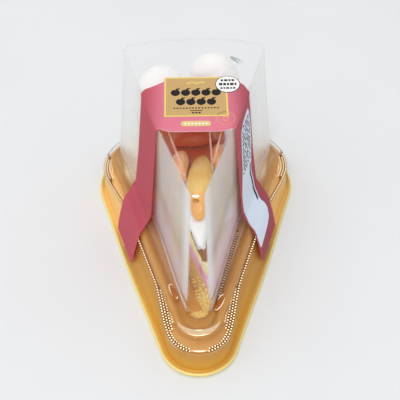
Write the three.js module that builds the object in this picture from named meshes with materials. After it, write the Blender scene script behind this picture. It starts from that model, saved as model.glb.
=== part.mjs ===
// Packed slice of peach shortcake: gold tray, clear lid, paper band and the layered slice inside.
// Millimetres, +Z up. The tip of the slice points to -Y and the tray stands on z = 0.
import * as THREE from 'three';

// Driving dimensions of the pack
const HALF_ANGLE = THREE.MathUtils.degToRad(18);
const SHEET = 0.6;
const RIM_TOP = 2.3;
const GROOVE_Z = 0.9;
const FLANGE_Z = 11;
const RIDGE_Z = 14;
const VALLEY_Z = 11.6;
const FLOOR_Z = 0.9;
const LID_GAP = 0.45;
const LID_SHEET = 0.5;
const LID_TOP = 78.6;
const PAPER = 0.4;

// Contours of the pack, seen from above. side is the distance of the straight side from the
// origin, bow swells (+) or pinches (-) its middle over reach, and nose is the front radius.
// The rear corner is a curve that leaves the side at start with pull, and meets the back edge
// at backX, backY with backPull. rear is the middle of the back edge.
const RIM = {
  side: 35, bow: 0.8, reach: 0.5, nose: 18.1,
  start: 45.7, pull: 14, backX: 33.5, backY: 66.9, backPull: 11, rear: 72.85,
};
const FLANGE = {
  side: 30.4, bow: -3.1, reach: 0.3, nose: 14,
  start: 50.7, pull: 10, backX: 33.5, backY: 64.4, backPull: 9, rear: 70.4,
};
const RIDGE = {
  side: 26, bow: 0, reach: 0.5, nose: 10.6,
  start: 53.7, pull: 8, backX: 33.5, backY: 62.4, backPull: 7, rear: 68.1,
};
const VALLEY = {
  side: 21.5, bow: -0.9, reach: 0.5, nose: 6.8,
  start: 58.6, pull: 6, backX: 33.8, backY: 61.3, backPull: 5, rear: 66.7,
};
const FOOT = {
  side: 19.7, bow: -2.2, reach: 0.5, nose: 6.1,
  start: 61.4, pull: 4.5, backX: 34.2, backY: 60.4, backPull: 4, rear: 65.6,
};
const TOP = {
  side: 13.7, bow: 0.7, reach: 0.5, nose: 3.4,
  start: 62, pull: 2.4, backX: 30.6, backY: 60.1, backPull: 2, rear: 64.2,
};
const WELL = {
  side: 17.4, bow: -1.2, reach: 0.5, nose: 5.2,
  start: 56, pull: 5, backX: 30, backY: 56.8, backPull: 4.5, rear: 61.5,
};

// Steps round a contour, for one half of it
const NOSE_STEPS = 6;
const SIDE_STEPS = 8;
const CORNER_STEPS = 6;
const REAR_STEPS = 4;

// Driving dimensions of the slice
const SLICE_TIP = { x: 0.8, y: -37.8 };
const SLICE_TURN = THREE.MathUtils.degToRad(3);
const SLICE_LEAN = { x: 5.6, y: -4.6 };
const LEAN_AT_FOOT = 0.57;
const LEAN_FULL_Z = 14;
const SLICE_RADIUS = 93;
const SLICE_HALF_ANGLE = THREE.MathUtils.degToRad(16);
const SLICE_BASE = 1.3;
const LOW_SPONGE_TOP = 18;
const FILLING_TOP = 25.6;
const HIGH_SPONGE_TOP = 44;
const CREAM_TOP = 50;
const LAYER_GAP = 0.35;
const BACK_CREAM = 3.5;

const COLOURS = {
  gold: { color: 0xcf9a48, roughness: 0.35, metalness: 0.6 },
  clear: { color: 0xe8ecec, roughness: 0.1, metalness: 0, transparent: true, opacity: 0.3 },
  paper: { color: 0xd8607c, roughness: 0.5, metalness: 0 },
  sponge: { color: 0xe6c878, roughness: 0.9, metalness: 0 },
  filling: { color: 0xf0cfc0, roughness: 0.7, metalness: 0 },
  cream: { color: 0xf8f4ec, roughness: 0.6, metalness: 0 },
  peach: { color: 0xe8b860, roughness: 0.3, metalness: 0 },
};

const UP = new THREE.Vector3(0, 0, 1);
const SIDE_NORMAL = new THREE.Vector2(Math.cos(HALF_ANGLE), -Math.sin(HALF_ANGLE));
const SIDE_ALONG = new THREE.Vector2(Math.sin(HALF_ANGLE), Math.cos(HALF_ANGLE));

function grow(contour, distance) {
  return {
    ...contour,
    side: contour.side + distance,
    nose: contour.nose + distance,
    pull: contour.pull + distance * 0.5,
    backX: contour.backX + distance * 0.3,
    backY: contour.backY + distance * 0.95,
    backPull: contour.backPull + distance * 0.5,
    rear: contour.rear + distance,
  };
}

function mix(a, b, share) {
  const result = {};
  for (const key of Object.keys(a)) {
    result[key] = THREE.MathUtils.lerp(a[key], b[key], share);
  }
  return result;
}

function arcPoints(centre, radius, from, to, steps) {
  const points = [];
  for (let i = 0; i <= steps; i += 1) {
    const angle = THREE.MathUtils.lerp(from, to, i / steps);
    const x = centre.x + radius * Math.cos(angle);
    const y = centre.y + radius * Math.sin(angle);
    points.push(new THREE.Vector2(x, y));
  }
  return points;
}

function bowAt(contour, share) {
  const end = Math.min(share, 1 - share);
  return contour.bow * THREE.MathUtils.smoothstep(end, 0, contour.reach);
}

// Rear corner, from the end of the straight side to the start of the back edge
function cornerCurve(contour) {
  const from = sidePoint(contour.side, contour.start);
  const to = new THREE.Vector2(contour.backX, contour.backY);
  const slope = (2 * (contour.rear - contour.backY)) / contour.backX;
  const backward = new THREE.Vector2(1, -slope).normalize();
  return new THREE.CubicBezierCurve(
    from,
    from.clone().addScaledVector(SIDE_ALONG, contour.pull),
    to.clone().addScaledVector(backward, contour.backPull),
    to,
  );
}

function sidePoint(out, along) {
  return SIDE_NORMAL.clone().multiplyScalar(out).addScaledVector(SIDE_ALONG, along);
}

function backEdge(contour) {
  const points = [];
  for (let i = 1; i <= REAR_STEPS; i += 1) {
    const share = 1 - i / REAR_STEPS;
    const y = THREE.MathUtils.lerp(contour.rear, contour.backY, share * share);
    points.push(new THREE.Vector2(contour.backX * share, y));
  }
  return points;
}

// Closed contour, counter-clockwise from the nose. Its height changes to rearZ round the rear
// corners, where the ridge dies away.
function ring(contour, z, rearZ = z) {
  const nose = new THREE.Vector2(0, (contour.nose - contour.side) / Math.sin(HALF_ANGLE));
  const front = arcPoints(nose, contour.nose, -Math.PI / 2, -HALF_ANGLE, NOSE_STEPS);
  const from = front[front.length - 1];
  const to = sidePoint(contour.side, contour.start);
  for (let i = 1; i < SIDE_STEPS; i += 1) {
    const share = i / SIDE_STEPS;
    front.push(from.clone().lerp(to, share).addScaledVector(SIDE_NORMAL, bowAt(contour, share)));
  }
  const corner = cornerCurve(contour).getPoints(CORNER_STEPS);
  const fade = (i) => THREE.MathUtils.lerp(z, rearZ, i / CORNER_STEPS);
  const half = [
    ...front.map((p) => new THREE.Vector3(p.x, p.y, z)),
    ...corner.map((p, i) => new THREE.Vector3(p.x, p.y, fade(i))),
    ...backEdge(contour).map((p) => new THREE.Vector3(p.x, p.y, rearZ)),
  ];
  return mirrorHalf(half);
}

function mirrorHalf(half) {
  const mirrored = half.slice(1, -1).reverse().map((p) => new THREE.Vector3(-p.x, p.y, p.z));
  return half.concat(mirrored);
}

// Solid from rings of equal count, each joined to the next, with both ends closed
function solidFromRings(rings) {
  const count = rings[0].length;
  const positions = rings.flat().flatMap((p) => [p.x, p.y, p.z]);
  const index = [];
  for (let r = 0; r + 1 < rings.length; r += 1) {
    for (let i = 0; i < count; i += 1) {
      const next = (i + 1) % count;
      const a = r * count + i;
      const b = r * count + next;
      index.push(a, b, b + count, a, b + count, a + count);
    }
  }
  const last = (rings.length - 1) * count;
  for (let i = 0; i < count / 2; i += 1) {
    const left = (count - i) % count;
    const leftNext = count - i - 1;
    const quad = [i, i + 1, leftNext, left];
    index.push(...capTriangles(quad, 0, true));
    index.push(...capTriangles(quad, last, false));
  }
  const geometry = new THREE.BufferGeometry();
  geometry.setAttribute('position', new THREE.Float32BufferAttribute(positions, 3));
  geometry.setIndex(index);
  geometry.computeVertexNormals();
  return geometry;
}

function capTriangles(quad, offset, facesBack) {
  const triangles = [];
  for (const corners of [[0, 1, 2], [0, 2, 3]]) {
    const ids = corners.map((k) => quad[k] + offset);
    if (new Set(ids).size === 3) {
      triangles.push(...(facesBack ? ids.reverse() : ids));
    }
  }
  return triangles;
}

function makeMesh(name, geometry, look) {
  const mesh = new THREE.Mesh(geometry, new THREE.MeshStandardMaterial(COLOURS[look]));
  mesh.name = name;
  return mesh;
}

// Contours from the outside in. stage(2.25) lies a quarter of the way from the third to the fourth.
const STAGES = [RIM, FLANGE, RIDGE, VALLEY, FOOT, WELL];

function stage(position) {
  const low = Math.min(Math.floor(position), STAGES.length - 2);
  return mix(STAGES[low], STAGES[low + 1], position - low);
}

// Gold tray: low rolled rim, steep skirt, flange, ridge, and a deep well for the slice.
// The rings run from the middle of its underside, out to the rim, and back over the top.
function makeTray() {
  const under = FLANGE_Z - SHEET;
  const underside = [
    ring(grow(WELL, 0.1), 0),
    ring(grow(WELL, SHEET), SHEET),
    ring(stage(4), VALLEY_Z - 1.3, under - 0.2),
    ring(stage(3.1), VALLEY_Z - SHEET, under),
    ring(stage(2.6), RIDGE_Z - SHEET - 0.5, under),
    ring(stage(2.4), RIDGE_Z - SHEET - 0.2, under),
    ring(stage(2.13), RIDGE_Z - SHEET - 0.8, under),
    ring(stage(1.98), under),
    ring(stage(1.13), under - 0.3),
    ring(grow(stage(0.75), -SHEET), 4.4),
    ring(grow(RIM, -4), SHEET),
    ring(grow(RIM, -3), 0),
  ];
  const topside = [
    ring(grow(RIM, -1.3), 0),
    ring(grow(RIM, -0.3), 0.9),
    ring(RIM, RIM_TOP - 0.6),
    ring(grow(RIM, -0.7), RIM_TOP),
    ring(grow(RIM, -1.5), RIM_TOP - 0.6),
    ring(grow(RIM, -2.4), GROOVE_Z),
    ring(grow(RIM, -3.1), GROOVE_Z + 0.3),
    ring(stage(0.75), 5),
    ring(stage(1), FLANGE_Z - 0.4),
    ring(stage(1.88), FLANGE_Z),
    ring(stage(2), RIDGE_Z - 0.6, FLANGE_Z),
    ring(stage(2.25), RIDGE_Z, FLANGE_Z),
    ring(stage(2.55), RIDGE_Z - 0.3, FLANGE_Z),
    ring(stage(3), VALLEY_Z, FLANGE_Z),
    ring(stage(3.9), VALLEY_Z - 0.4, FLANGE_Z - 0.1),
    ring(stage(4.35), VALLEY_Z - 0.9, FLANGE_Z - 0.5),
    ring(stage(5), FLOOR_Z + SHEET),
    ring(grow(WELL, -0.8), FLOOR_Z),
  ];
  return makeMesh('tray', solidFromRings([...underside, ...topside]), 'gold');
}

function wallRing(inset, share, z) {
  return ring(grow(mix(FOOT, TOP, share), -inset), z);
}

// Clear lid: edge skirt, flange, channel over the tray's ridge, and the tall dome
function makeLid() {
  const over = RIDGE_Z + LID_GAP;
  const flat = FLANGE_Z + LID_GAP;
  const low = VALLEY_Z + LID_GAP;
  const inside = [
    ring(grow(TOP, -3), LID_TOP - LID_SHEET),
    wallRing(1, 1, LID_TOP - LID_SHEET - 0.5),
    wallRing(0.5, 0.98, LID_TOP - 2),
    wallRing(0.5, 0.1, 18.4),
    wallRing(-0.1, 0.07, 16.8),
    wallRing(0.6, 0, low + 0.3),
    ring(stage(3.9), low - 0.2, flat),
    ring(stage(3), low + 0.05, flat),
    ring(stage(2.55), over - 0.2, flat),
    ring(stage(2.25), over, flat),
    ring(stage(1.9), over - 0.6, flat),
    ring(stage(1.78), flat),
    ring(grow(FLANGE, LID_GAP), flat),
    ring(grow(FLANGE, LID_GAP), FLANGE_Z - 0.7),
  ];
  const edge = LID_GAP + LID_SHEET;
  const outside = [
    ring(grow(FLANGE, edge), FLANGE_Z - 0.7),
    ring(grow(FLANGE, edge), flat + 0.2),
    ring(grow(FLANGE, edge - 0.3), flat + LID_SHEET),
    ring(stage(1.68), flat + LID_SHEET),
    ring(stage(1.79), over - 0.2, flat + LID_SHEET),
    ring(stage(2.25), over + LID_SHEET, flat + LID_SHEET),
    ring(stage(2.6), over + LID_SHEET - 0.2, flat + LID_SHEET),
    ring(stage(3.05), low + LID_SHEET + 0.1, flat + LID_SHEET),
    ring(stage(3.7), low + LID_SHEET - 0.1, flat + LID_SHEET),
    wallRing(0, 0, low + LID_SHEET + 0.3),
    wallRing(-0.6, 0.07, 16.8),
    wallRing(0, 0.1, 18.4),
    wallRing(0, 0.98, LID_TOP - 1.5),
    wallRing(0.6, 1, LID_TOP - 0.4),
    ring(grow(TOP, -2.2), LID_TOP),
  ];
  return makeMesh('lid', solidFromRings([...inside, ...outside]), 'clear');
}

// Paper band: over the top of the lid, down both walls, and out over the flange to the groove
const WALL_FOOT_Z = 12;
const WALL_TOP_Z = 77;
const BAND_CLEAR = 0.6;
const PANEL_Z = LID_TOP + 0.35;
const PANEL_TAPER = 0.66;
const PANEL_FRONT = -0.5;
const PINK_BACK = 26.6;
const PANEL_END = 22.8;
const SHOULDER = { x: 16, y: 24.2, rx: 7, ry: 7.2 };
const PINK_RISE = 5;
const LABEL = { left: -13.7, right: 14.2, back: 34.2 };
const BADGE = { x: 14.5, y: 29.1, rx: 5.6, ry: 5.6 };

function wallDistance(z) {
  const t = (z - WALL_FOOT_Z) / (WALL_TOP_Z - WALL_FOOT_Z);
  return THREE.MathUtils.lerp(FOOT.side, TOP.side + TOP.bow, t) + BAND_CLEAR;
}

// Each stop down a leg: distance from the pack's middle line along the side's normal, height,
// and the front and rear ends of the paper, measured along the side
const LEG_STOPS = [
  { out: wallDistance(76.4), z: 76.4, front: 8.4, rear: 29.8 },
  { out: wallDistance(70), z: 70, front: 9.2, rear: 30.1 },
  { out: wallDistance(45), z: 45, front: 8.8, rear: 30.7 },
  { out: wallDistance(22), z: 22, front: 9, rear: 33.2 },
  { out: wallDistance(17) + 0.7, z: 17.6, front: 9.8, rear: 35.2 },
  { out: wallDistance(12) + 2.2, z: 16, front: 8.8, rear: 34 },
  { out: RIDGE.side + 0.2, z: 15.8, front: 5.2, rear: 30.4 },
  { out: RIDGE.side + 1.8, z: 14, front: 3.9, rear: 28.6 },
  { out: RIM.side - 4.2, z: 7.6, front: 1.4, rear: 25.6 },
  { out: RIM.side - 2.3, z: 2.9, front: -0.4, rear: 22.8 },
];

function legPoint(out, along, z, side) {
  const plan = sidePoint(out, along);
  return new THREE.Vector3(side * plan.x, plan.y, z);
}

function legPairs(side) {
  return LEG_STOPS.map(({ out, z, front, rear }) => [
    legPoint(out, front, z, side),
    legPoint(out, rear, z, side),
  ]);
}

// The fold where the top panel turns down over the lid's edge
function foldPair(side) {
  const out = TOP.side + TOP.bow + 0.5;
  const z = PANEL_Z - 0.7;
  return [legPoint(out, 6.2, z, side), legPoint(out, 30.8, z, side)];
}

// Height in y of an oval's upper edge at x, and 0 beside the oval
function upperEdge(oval, x) {
  const across = (x - oval.x) / oval.rx;
  return Math.abs(across) < 1 ? oval.y + oval.ry * Math.sqrt(1 - across * across) : 0;
}

// Rear edge of the top panel: square label, a slope on its left, and the badge with a round
// shoulder on its right
function panelBack(x) {
  const label = x >= LABEL.left && x <= LABEL.right ? LABEL.back : 0;
  const share = Math.max(PANEL_END - Math.abs(x), 0) / (PANEL_END + LABEL.left);
  const corner = Math.max(Math.abs(x) + 1.5 - PANEL_END, 0) / 1.5;
  const slope = PINK_BACK + PINK_RISE * Math.min(share, 1) ** 1.25 - 0.8 * corner * corner;
  return Math.max(slope, upperEdge(SHOULDER, x), upperEdge(BADGE, x), label);
}

function panelPair(x) {
  const corner = Math.max(Math.abs(x) - 14, 0) / 9;
  const front = PANEL_FRONT + 1.7 * corner * corner;
  const back = panelBack(x);
  return [new THREE.Vector3(x * PANEL_TAPER, front, PANEL_Z), new THREE.Vector3(x, back, PANEL_Z)];
}

// Stations across the top panel, by the position of their rear end
function panelStations() {
  const badge = [-0.4, 0, 0.4, 0.7, 0.9, 1].map((share) => BADGE.x + BADGE.rx * share);
  return [-22.8, -20, -16.8, LABEL.left - 0.2, LABEL.left, -7, 0, 7, ...badge, 21.2, 22.8];
}

function bandPairs() {
  return [
    ...legPairs(-1).reverse(),
    foldPair(-1),
    ...panelStations().map(panelPair),
    foldPair(1),
    ...legPairs(1),
  ];
}

function pathNormals(points) {
  return points.map((point, i) => {
    const before = points[Math.max(i - 1, 0)];
    const after = points[Math.min(i + 1, points.length - 1)];
    const run = after.clone().sub(before);
    return new THREE.Vector3(-run.z, 0, run.x).normalize();
  });
}

function makeBand() {
  const pairs = bandPairs();
  const middles = pairs.map(([front, rear]) => front.clone().lerp(rear, 0.5));
  const normals = pathNormals(middles);
  const loops = pairs.map(([front, rear], i) => {
    const lift = normals[i].clone().multiplyScalar(PAPER);
    return [front, rear, rear.clone().add(lift), front.clone().add(lift)];
  });
  return makeMesh('paper_band', solidFromRings(loops), 'paper');
}

// Outline of the slice. Its back arc runs from right to left, and the path returns along the
// left cut side, round the tip, and along the right cut side.
const BACK_STEPS = 12;
const SIDE_POINTS = 5;
const TIP_RADIUS = 1.4;

function sliceArc(inset, backInset) {
  const radius = SLICE_RADIUS - backInset;
  const turn = Math.PI / 2 - SLICE_HALF_ANGLE + inset / radius;
  return arcPoints(new THREE.Vector2(0, 0), radius, turn, Math.PI - turn, BACK_STEPS);
}

function slicePath(inset, backInset) {
  const arc = sliceArc(inset, backInset);
  const start = new THREE.Vector2(0, (TIP_RADIUS + inset) / Math.sin(SLICE_HALF_ANGLE));
  const tip = arcPoints(start, TIP_RADIUS, Math.PI * 1.25, Math.PI * 1.75, 2);
  const left = [];
  const right = [];
  for (let i = 1; i <= SIDE_POINTS; i += 1) {
    const share = i / (SIDE_POINTS + 1);
    left.push(arc[BACK_STEPS].clone().lerp(tip[0], share));
    right.push(tip[2].clone().lerp(arc[0], share));
  }
  return [...left, ...tip, ...right];
}

// The slice is turned a little in its well. Its tip sags forward and to the right below the
// cream, and less so at the foot, where the well is narrow.
function placeSlice(points, z) {
  const origin = new THREE.Vector2(0, 0);
  const low = 1 - (z / CREAM_TOP) ** 2;
  const rise = THREE.MathUtils.smoothstep(z, 0, LEAN_FULL_Z);
  const aside = SLICE_LEAN.x * THREE.MathUtils.lerp(LEAN_AT_FOOT, 1, rise);
  return points.map((p) => {
    const share = low * THREE.MathUtils.clamp(1 - p.y / SLICE_RADIUS, 0, 1);
    const q = p.clone().rotateAround(origin, SLICE_TURN);
    const x = q.x + SLICE_TIP.x + aside * share;
    const y = q.y + SLICE_TIP.y + SLICE_LEAN.y * share;
    return new THREE.Vector3(x, y, z);
  });
}

function sliceRing(inset, backInset, z) {
  return placeSlice([...sliceArc(inset, backInset), ...slicePath(inset, backInset)], z);
}

// One layer, its cut faces swelling or hollow between the edges
function makeLayer(name, from, to, swell, look) {
  const rings = [0, 0.12, 0.5, 0.88, 1].map((share) => {
    const edge = share === 0 || share === 1 ? 0.4 : 0;
    const inset = edge - swell * Math.sin(Math.PI * share);
    const z = THREE.MathUtils.lerp(from, to, share);
    return sliceRing(inset, BACK_CREAM + LAYER_GAP + edge, z);
  });
  return makeMesh(name, solidFromRings(rings), look);
}

// Whipped cream over the top and down the curved back, in one piece
function makeCoat() {
  const low = HIGH_SPONGE_TOP + LAYER_GAP;
  const wall = [...sliceArc(0.5, 0.4), ...sliceArc(0.5, BACK_CREAM).reverse()];
  const rings = [
    placeSlice(wall, SLICE_BASE),
    placeSlice(wall, low),
    sliceRing(0, 0, low),
    sliceRing(-0.6, -0.2, low + 1.4),
    sliceRing(-0.6, -0.2, CREAM_TOP - 1.8),
    sliceRing(0.3, 0.4, CREAM_TOP - 0.5),
    sliceRing(2, 2, CREAM_TOP),
  ];
  return makeMesh('cream_coat', solidFromRings(rings), 'cream');
}

// Smooth dropped dome of whipped cream. The angles are the latitudes of its foot and its crown.
const PUFF_STEPS = 20;
const PUFF_LEVELS = 9;
const PUFF_FOOT = -0.72;
const PUFF_CROWN = 1.49;
const PUFF_TIP = 0.4;

function makePuff(name, place, radius, height) {
  const rings = [];
  for (let i = 0; i <= PUFF_LEVELS; i += 1) {
    const t = THREE.MathUtils.lerp(PUFF_FOOT, PUFF_CROWN, i / PUFF_LEVELS);
    const reach = radius * Math.cos(t);
    const z = place.z + height * (Math.sin(t) - Math.sin(PUFF_FOOT));
    rings.push(roundRing(place, Math.max(reach, PUFF_TIP), z));
  }
  return makeMesh(name, solidFromRings(rings), 'cream');
}

function roundRing(place, radius, z) {
  const points = [];
  for (let k = 0; k < PUFF_STEPS; k += 1) {
    const angle = -Math.PI / 2 + (2 * Math.PI * k) / PUFF_STEPS;
    const wave = 1 - 0.03 * Math.cos(1.5 * angle + z * 0.2) ** 2;
    points.push(new THREE.Vector3(
      place.x + radius * wave * Math.cos(angle),
      place.y + radius * wave * Math.sin(angle),
      z,
    ));
  }
  return points;
}

// Peach segment: a bent spindle with a flat underside and a rounded back
const PEACH_STEPS = 10;
const PEACH_SECTION = 12;

function makePeach(name, { start, end, width, height, bend, z }) {
  const from = new THREE.Vector3(...start, z);
  const to = new THREE.Vector3(...end, z);
  const run = to.clone().sub(from);
  const across = new THREE.Vector3().crossVectors(UP, run).normalize();
  const rings = [];
  for (let i = 0; i <= PEACH_STEPS; i += 1) {
    const t = THREE.MathUtils.lerp(0.02, 0.98, i / PEACH_STEPS);
    const full = Math.sqrt(Math.sin(Math.PI * t));
    const middle = from.clone().addScaledVector(run, t);
    middle.addScaledVector(across, bend * Math.sin(Math.PI * t));
    rings.push(peachSection(middle, across, full * width / 2, full * height));
  }
  return makeMesh(name, solidFromRings(rings), 'peach');
}

function peachSection(middle, across, half, height) {
  const points = [];
  for (let k = 0; k < PEACH_SECTION; k += 1) {
    const angle = -Math.PI / 2 + (2 * Math.PI * k) / PEACH_SECTION;
    const side = half * Math.cos(angle);
    const lift = height * (0.42 + Math.sin(angle) * (Math.sin(angle) > 0 ? 0.58 : 0.42));
    points.push(middle.clone().addScaledVector(across, side).addScaledVector(UP, lift));
  }
  return points;
}

const PEACHES = {
  peach_front: { start: [0.6, -26.5], end: [3.4, 12], width: 11.5, height: 9, bend: 0.6 },
  peach_left: { start: [-8, -7], end: [-6, 14.5], width: 9, height: 8, bend: 0.8 },
  peach_right: { start: [10.8, 0], end: [10.4, 19], width: 7.5, height: 7, bend: -0.3 },
  peach_back: { start: [-11, 21], end: [10.5, 24], width: 11.5, height: 9, bend: 0 },
};

function makeCake() {
  const cake = new THREE.Group();
  const onTop = CREAM_TOP + LAYER_GAP;
  cake.add(
    makeLayer('sponge_low', SLICE_BASE, LOW_SPONGE_TOP, 0.3, 'sponge'),
    makeLayer('filling', LOW_SPONGE_TOP + LAYER_GAP, FILLING_TOP, -0.6, 'filling'),
    makeLayer('sponge_high', FILLING_TOP + LAYER_GAP, HIGH_SPONGE_TOP, 0.3, 'sponge'),
    makeCoat(),
    makePuff('cream_puff_left', new THREE.Vector3(-15.5, 48.8, onTop), 11.8, 12.4),
    makePuff('cream_puff_right', new THREE.Vector3(8.8, 50.6, onTop), 12.4, 16.2),
  );
  for (const [name, shape] of Object.entries(PEACHES)) {
    cake.add(makePeach(name, { ...shape, z: onTop }));
  }
  return cake;
}

const pack = new THREE.Group();
pack.add(makeTray(), makeLid(), makeBand(), makeCake());

export default pack;
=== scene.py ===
"""Packed slice of peach shortcake: gold tray, clear lid, printed paper band and the slice inside.

Sizes below are in millimetres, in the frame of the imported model, and go to metres when a mesh is
made.
"""
import math
import random

import bpy
import numpy as np
from mathutils import Matrix, Vector, noise


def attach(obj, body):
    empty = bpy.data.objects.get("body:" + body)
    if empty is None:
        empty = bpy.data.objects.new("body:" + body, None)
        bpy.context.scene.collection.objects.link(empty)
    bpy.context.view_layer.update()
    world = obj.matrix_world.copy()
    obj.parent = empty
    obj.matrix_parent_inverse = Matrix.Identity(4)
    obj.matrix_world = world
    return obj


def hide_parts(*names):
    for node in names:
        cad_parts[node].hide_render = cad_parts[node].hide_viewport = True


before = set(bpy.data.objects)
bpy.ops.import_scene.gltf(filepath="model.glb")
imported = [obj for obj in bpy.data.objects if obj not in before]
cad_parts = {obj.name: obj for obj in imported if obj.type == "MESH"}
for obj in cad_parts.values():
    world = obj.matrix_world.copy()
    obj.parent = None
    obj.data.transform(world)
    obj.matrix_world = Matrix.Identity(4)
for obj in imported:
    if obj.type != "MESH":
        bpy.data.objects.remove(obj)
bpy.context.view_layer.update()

MM = 0.001
BODY = "root"

# Driving dimensions of the pack
HALF_ANGLE = math.radians(18)
SIDE_NORMAL = np.array([math.cos(HALF_ANGLE), -math.sin(HALF_ANGLE)])
SIDE_ALONG = np.array([math.sin(HALF_ANGLE), math.cos(HALF_ANGLE)])
SHEET = 0.6
RIM_TOP = 2.3
GROOVE_Z = 0.9
FLANGE_Z = 11.0
RIDGE_Z = 14.0
VALLEY_Z = 11.6
FLOOR_Z = 0.9
LID_GAP = 0.45
LID_SHEET = 0.5
LID_TOP = 78.6
PAPER = 0.4
PANEL_Z = LID_TOP + 0.35
PRINT_Z = PANEL_Z + PAPER
PRINT_STEP = 0.03
MARK_Z = LID_TOP + 0.1

# Contours seen from above. side is the distance of the straight side from the origin, bow swells
# or pinches its middle over reach, nose is the front radius, start and pull shape the rear corner
# up to back_x, back_y with back_pull, and rear is the middle of the back edge.
KEYS = ("side", "bow", "reach", "nose", "start", "pull", "back_x", "back_y", "back_pull", "rear")
RIM = dict(zip(KEYS, (35, 0.8, 0.5, 18.1, 45.7, 14, 33.5, 66.9, 11, 72.85)))
FLANGE = dict(zip(KEYS, (30.4, -3.1, 0.3, 14, 50.7, 10, 33.5, 64.4, 9, 70.4)))
RIDGE = dict(zip(KEYS, (26, 0, 0.5, 10.6, 53.7, 8, 33.5, 62.4, 7, 68.1)))
VALLEY = dict(zip(KEYS, (21.5, -0.9, 0.5, 6.8, 58.6, 6, 33.8, 61.3, 5, 66.7)))
FOOT = dict(zip(KEYS, (19.7, -2.2, 0.5, 6.1, 61.4, 4.5, 34.2, 60.4, 4, 65.6)))
TOP = dict(zip(KEYS, (13.7, 0.7, 0.5, 3.4, 62, 2.4, 30.6, 60.1, 2, 64.2)))
WELL = dict(zip(KEYS, (17.4, -1.2, 0.5, 5.2, 56, 5, 30, 56.8, 4.5, 61.5)))
STAGES = (RIM, FLANGE, RIDGE, VALLEY, FOOT, WELL)

# Steps round a contour, for one half of it
NOSE_STEPS = 22
SIDE_STEPS = 84
CORNER_STEPS = 26
REAR_STEPS = 22

# Steps round a bend of a profile
PROFILE_STEPS = 3


def srgb(red, green, blue):
    """Linear colour with alpha, from the 0 to 255 values that a picture shows."""
    def linear(value):
        share = value / 255
        return share / 12.92 if share <= 0.04045 else ((share + 0.055) / 1.055) ** 2.4
    return (linear(red), linear(green), linear(blue), 1.0)


def smoothstep(value, low, high):
    share = np.clip((value - low) / (high - low), 0, 1)
    return share * share * (3 - 2 * share)


def window(value, low, full, fade, end):
    """Rises from 0 to 1 between low and full, and falls again between fade and end."""
    return smoothstep(value, low, full) * (1 - smoothstep(value, fade, end))


# Contours and rings
def grow(contour, distance):
    shares = dict(side=1, nose=1, pull=0.5, back_x=0.3, back_y=0.95, back_pull=0.5, rear=1)
    return {key: value + distance * shares.get(key, 0) for key, value in contour.items()}


def mix(a, b, share):
    return {key: a[key] + (b[key] - a[key]) * share for key in a}


def stage(position):
    low = min(int(position), len(STAGES) - 2)
    return mix(STAGES[low], STAGES[low + 1], position - low)


def side_point(out, along):
    return SIDE_NORMAL * out + SIDE_ALONG * along


def corner_points(contour):
    start = side_point(contour["side"], contour["start"])
    end = np.array([contour["back_x"], contour["back_y"]])
    slope = 2 * (contour["rear"] - contour["back_y"]) / contour["back_x"]
    backward = np.array([1, -slope]) / math.hypot(1, slope)
    a = start + SIDE_ALONG * contour["pull"]
    b = end + backward * contour["back_pull"]
    t = np.linspace(0, 1, CORNER_STEPS + 1)[:, None]
    return (1 - t) ** 3 * start + 3 * t * (1 - t) ** 2 * a + 3 * t * t * (1 - t) * b + t ** 3 * end


def half_contour(contour):
    """Right half of a contour, from the nose to the middle of the back edge, with the share of the
    way round the rear corner at each point."""
    nose_y = (contour["nose"] - contour["side"]) / math.sin(HALF_ANGLE)
    angles = np.linspace(-math.pi / 2, -HALF_ANGLE, NOSE_STEPS + 1)
    round_nose = np.stack([np.cos(angles), np.sin(angles)], 1) * contour["nose"] + [0, nose_y]
    share = np.arange(1, SIDE_STEPS)[:, None] / SIDE_STEPS
    end = side_point(contour["side"], contour["start"])
    bow = contour["bow"] * smoothstep(np.minimum(share, 1 - share), 0, contour["reach"])
    side = round_nose[-1] + (end - round_nose[-1]) * share + SIDE_NORMAL * bow
    corner = corner_points(contour)
    back = 1 - np.arange(1, REAR_STEPS + 1) / REAR_STEPS
    back_y = contour["rear"] + (contour["back_y"] - contour["rear"]) * back ** 2
    rear = np.stack([contour["back_x"] * back, back_y], 1)
    points = np.concatenate([round_nose, side, corner, rear])
    fade = np.concatenate([
        np.zeros(len(round_nose) + len(side)),
        np.linspace(0, 1, CORNER_STEPS + 1),
        np.ones(REAR_STEPS),
    ])
    return points, fade


def ring(contour, z, rear_z=None):
    """Closed contour at height z, which changes to rear_z round the rear corners."""
    points, fade = half_contour(contour)
    height = z + (z if rear_z is None else rear_z) * fade - z * fade
    half = np.column_stack([points, height])
    mirrored = half[1:-1][::-1] * [-1, 1, 1]
    return np.concatenate([half, mirrored])


def wall_ring(inset, share, z):
    return ring(grow(mix(FOOT, TOP, share), -inset), z)


def round_profile(rings, radius):
    """Rounds the corners of the profile that runs through the rings."""
    rounded = [rings[0]]
    for before, corner, after in zip(rings, rings[1:], rings[2:]):
        to_before = before - corner
        to_after = after - corner
        long_before = np.linalg.norm(to_before, axis=1, keepdims=True)
        long_after = np.linalg.norm(to_after, axis=1, keepdims=True)
        reach = np.minimum(radius, 0.45 * np.minimum(long_before, long_after))
        start = corner + to_before / long_before * reach
        end = corner + to_after / long_after * reach
        for t in np.linspace(0, 1, PROFILE_STEPS + 1):
            rounded.append((1 - t) ** 2 * start + 2 * t * (1 - t) * corner + t * t * end)
    rounded.append(rings[-1])
    return rounded


# Meshes
def skin(rings):
    """Points and faces of a surface through rings of equal count, with closed ends."""
    count = len(rings[0])
    faces = []
    for level in range(len(rings) - 1):
        for i in range(count):
            a = level * count + i
            b = level * count + (i + 1) % count
            faces.append((a, b, b + count, a + count))
    last = (len(rings) - 1) * count
    faces.append(tuple(range(count))[::-1])
    faces.append(tuple(range(last, last + count)))
    return np.concatenate(rings), faces


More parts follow.
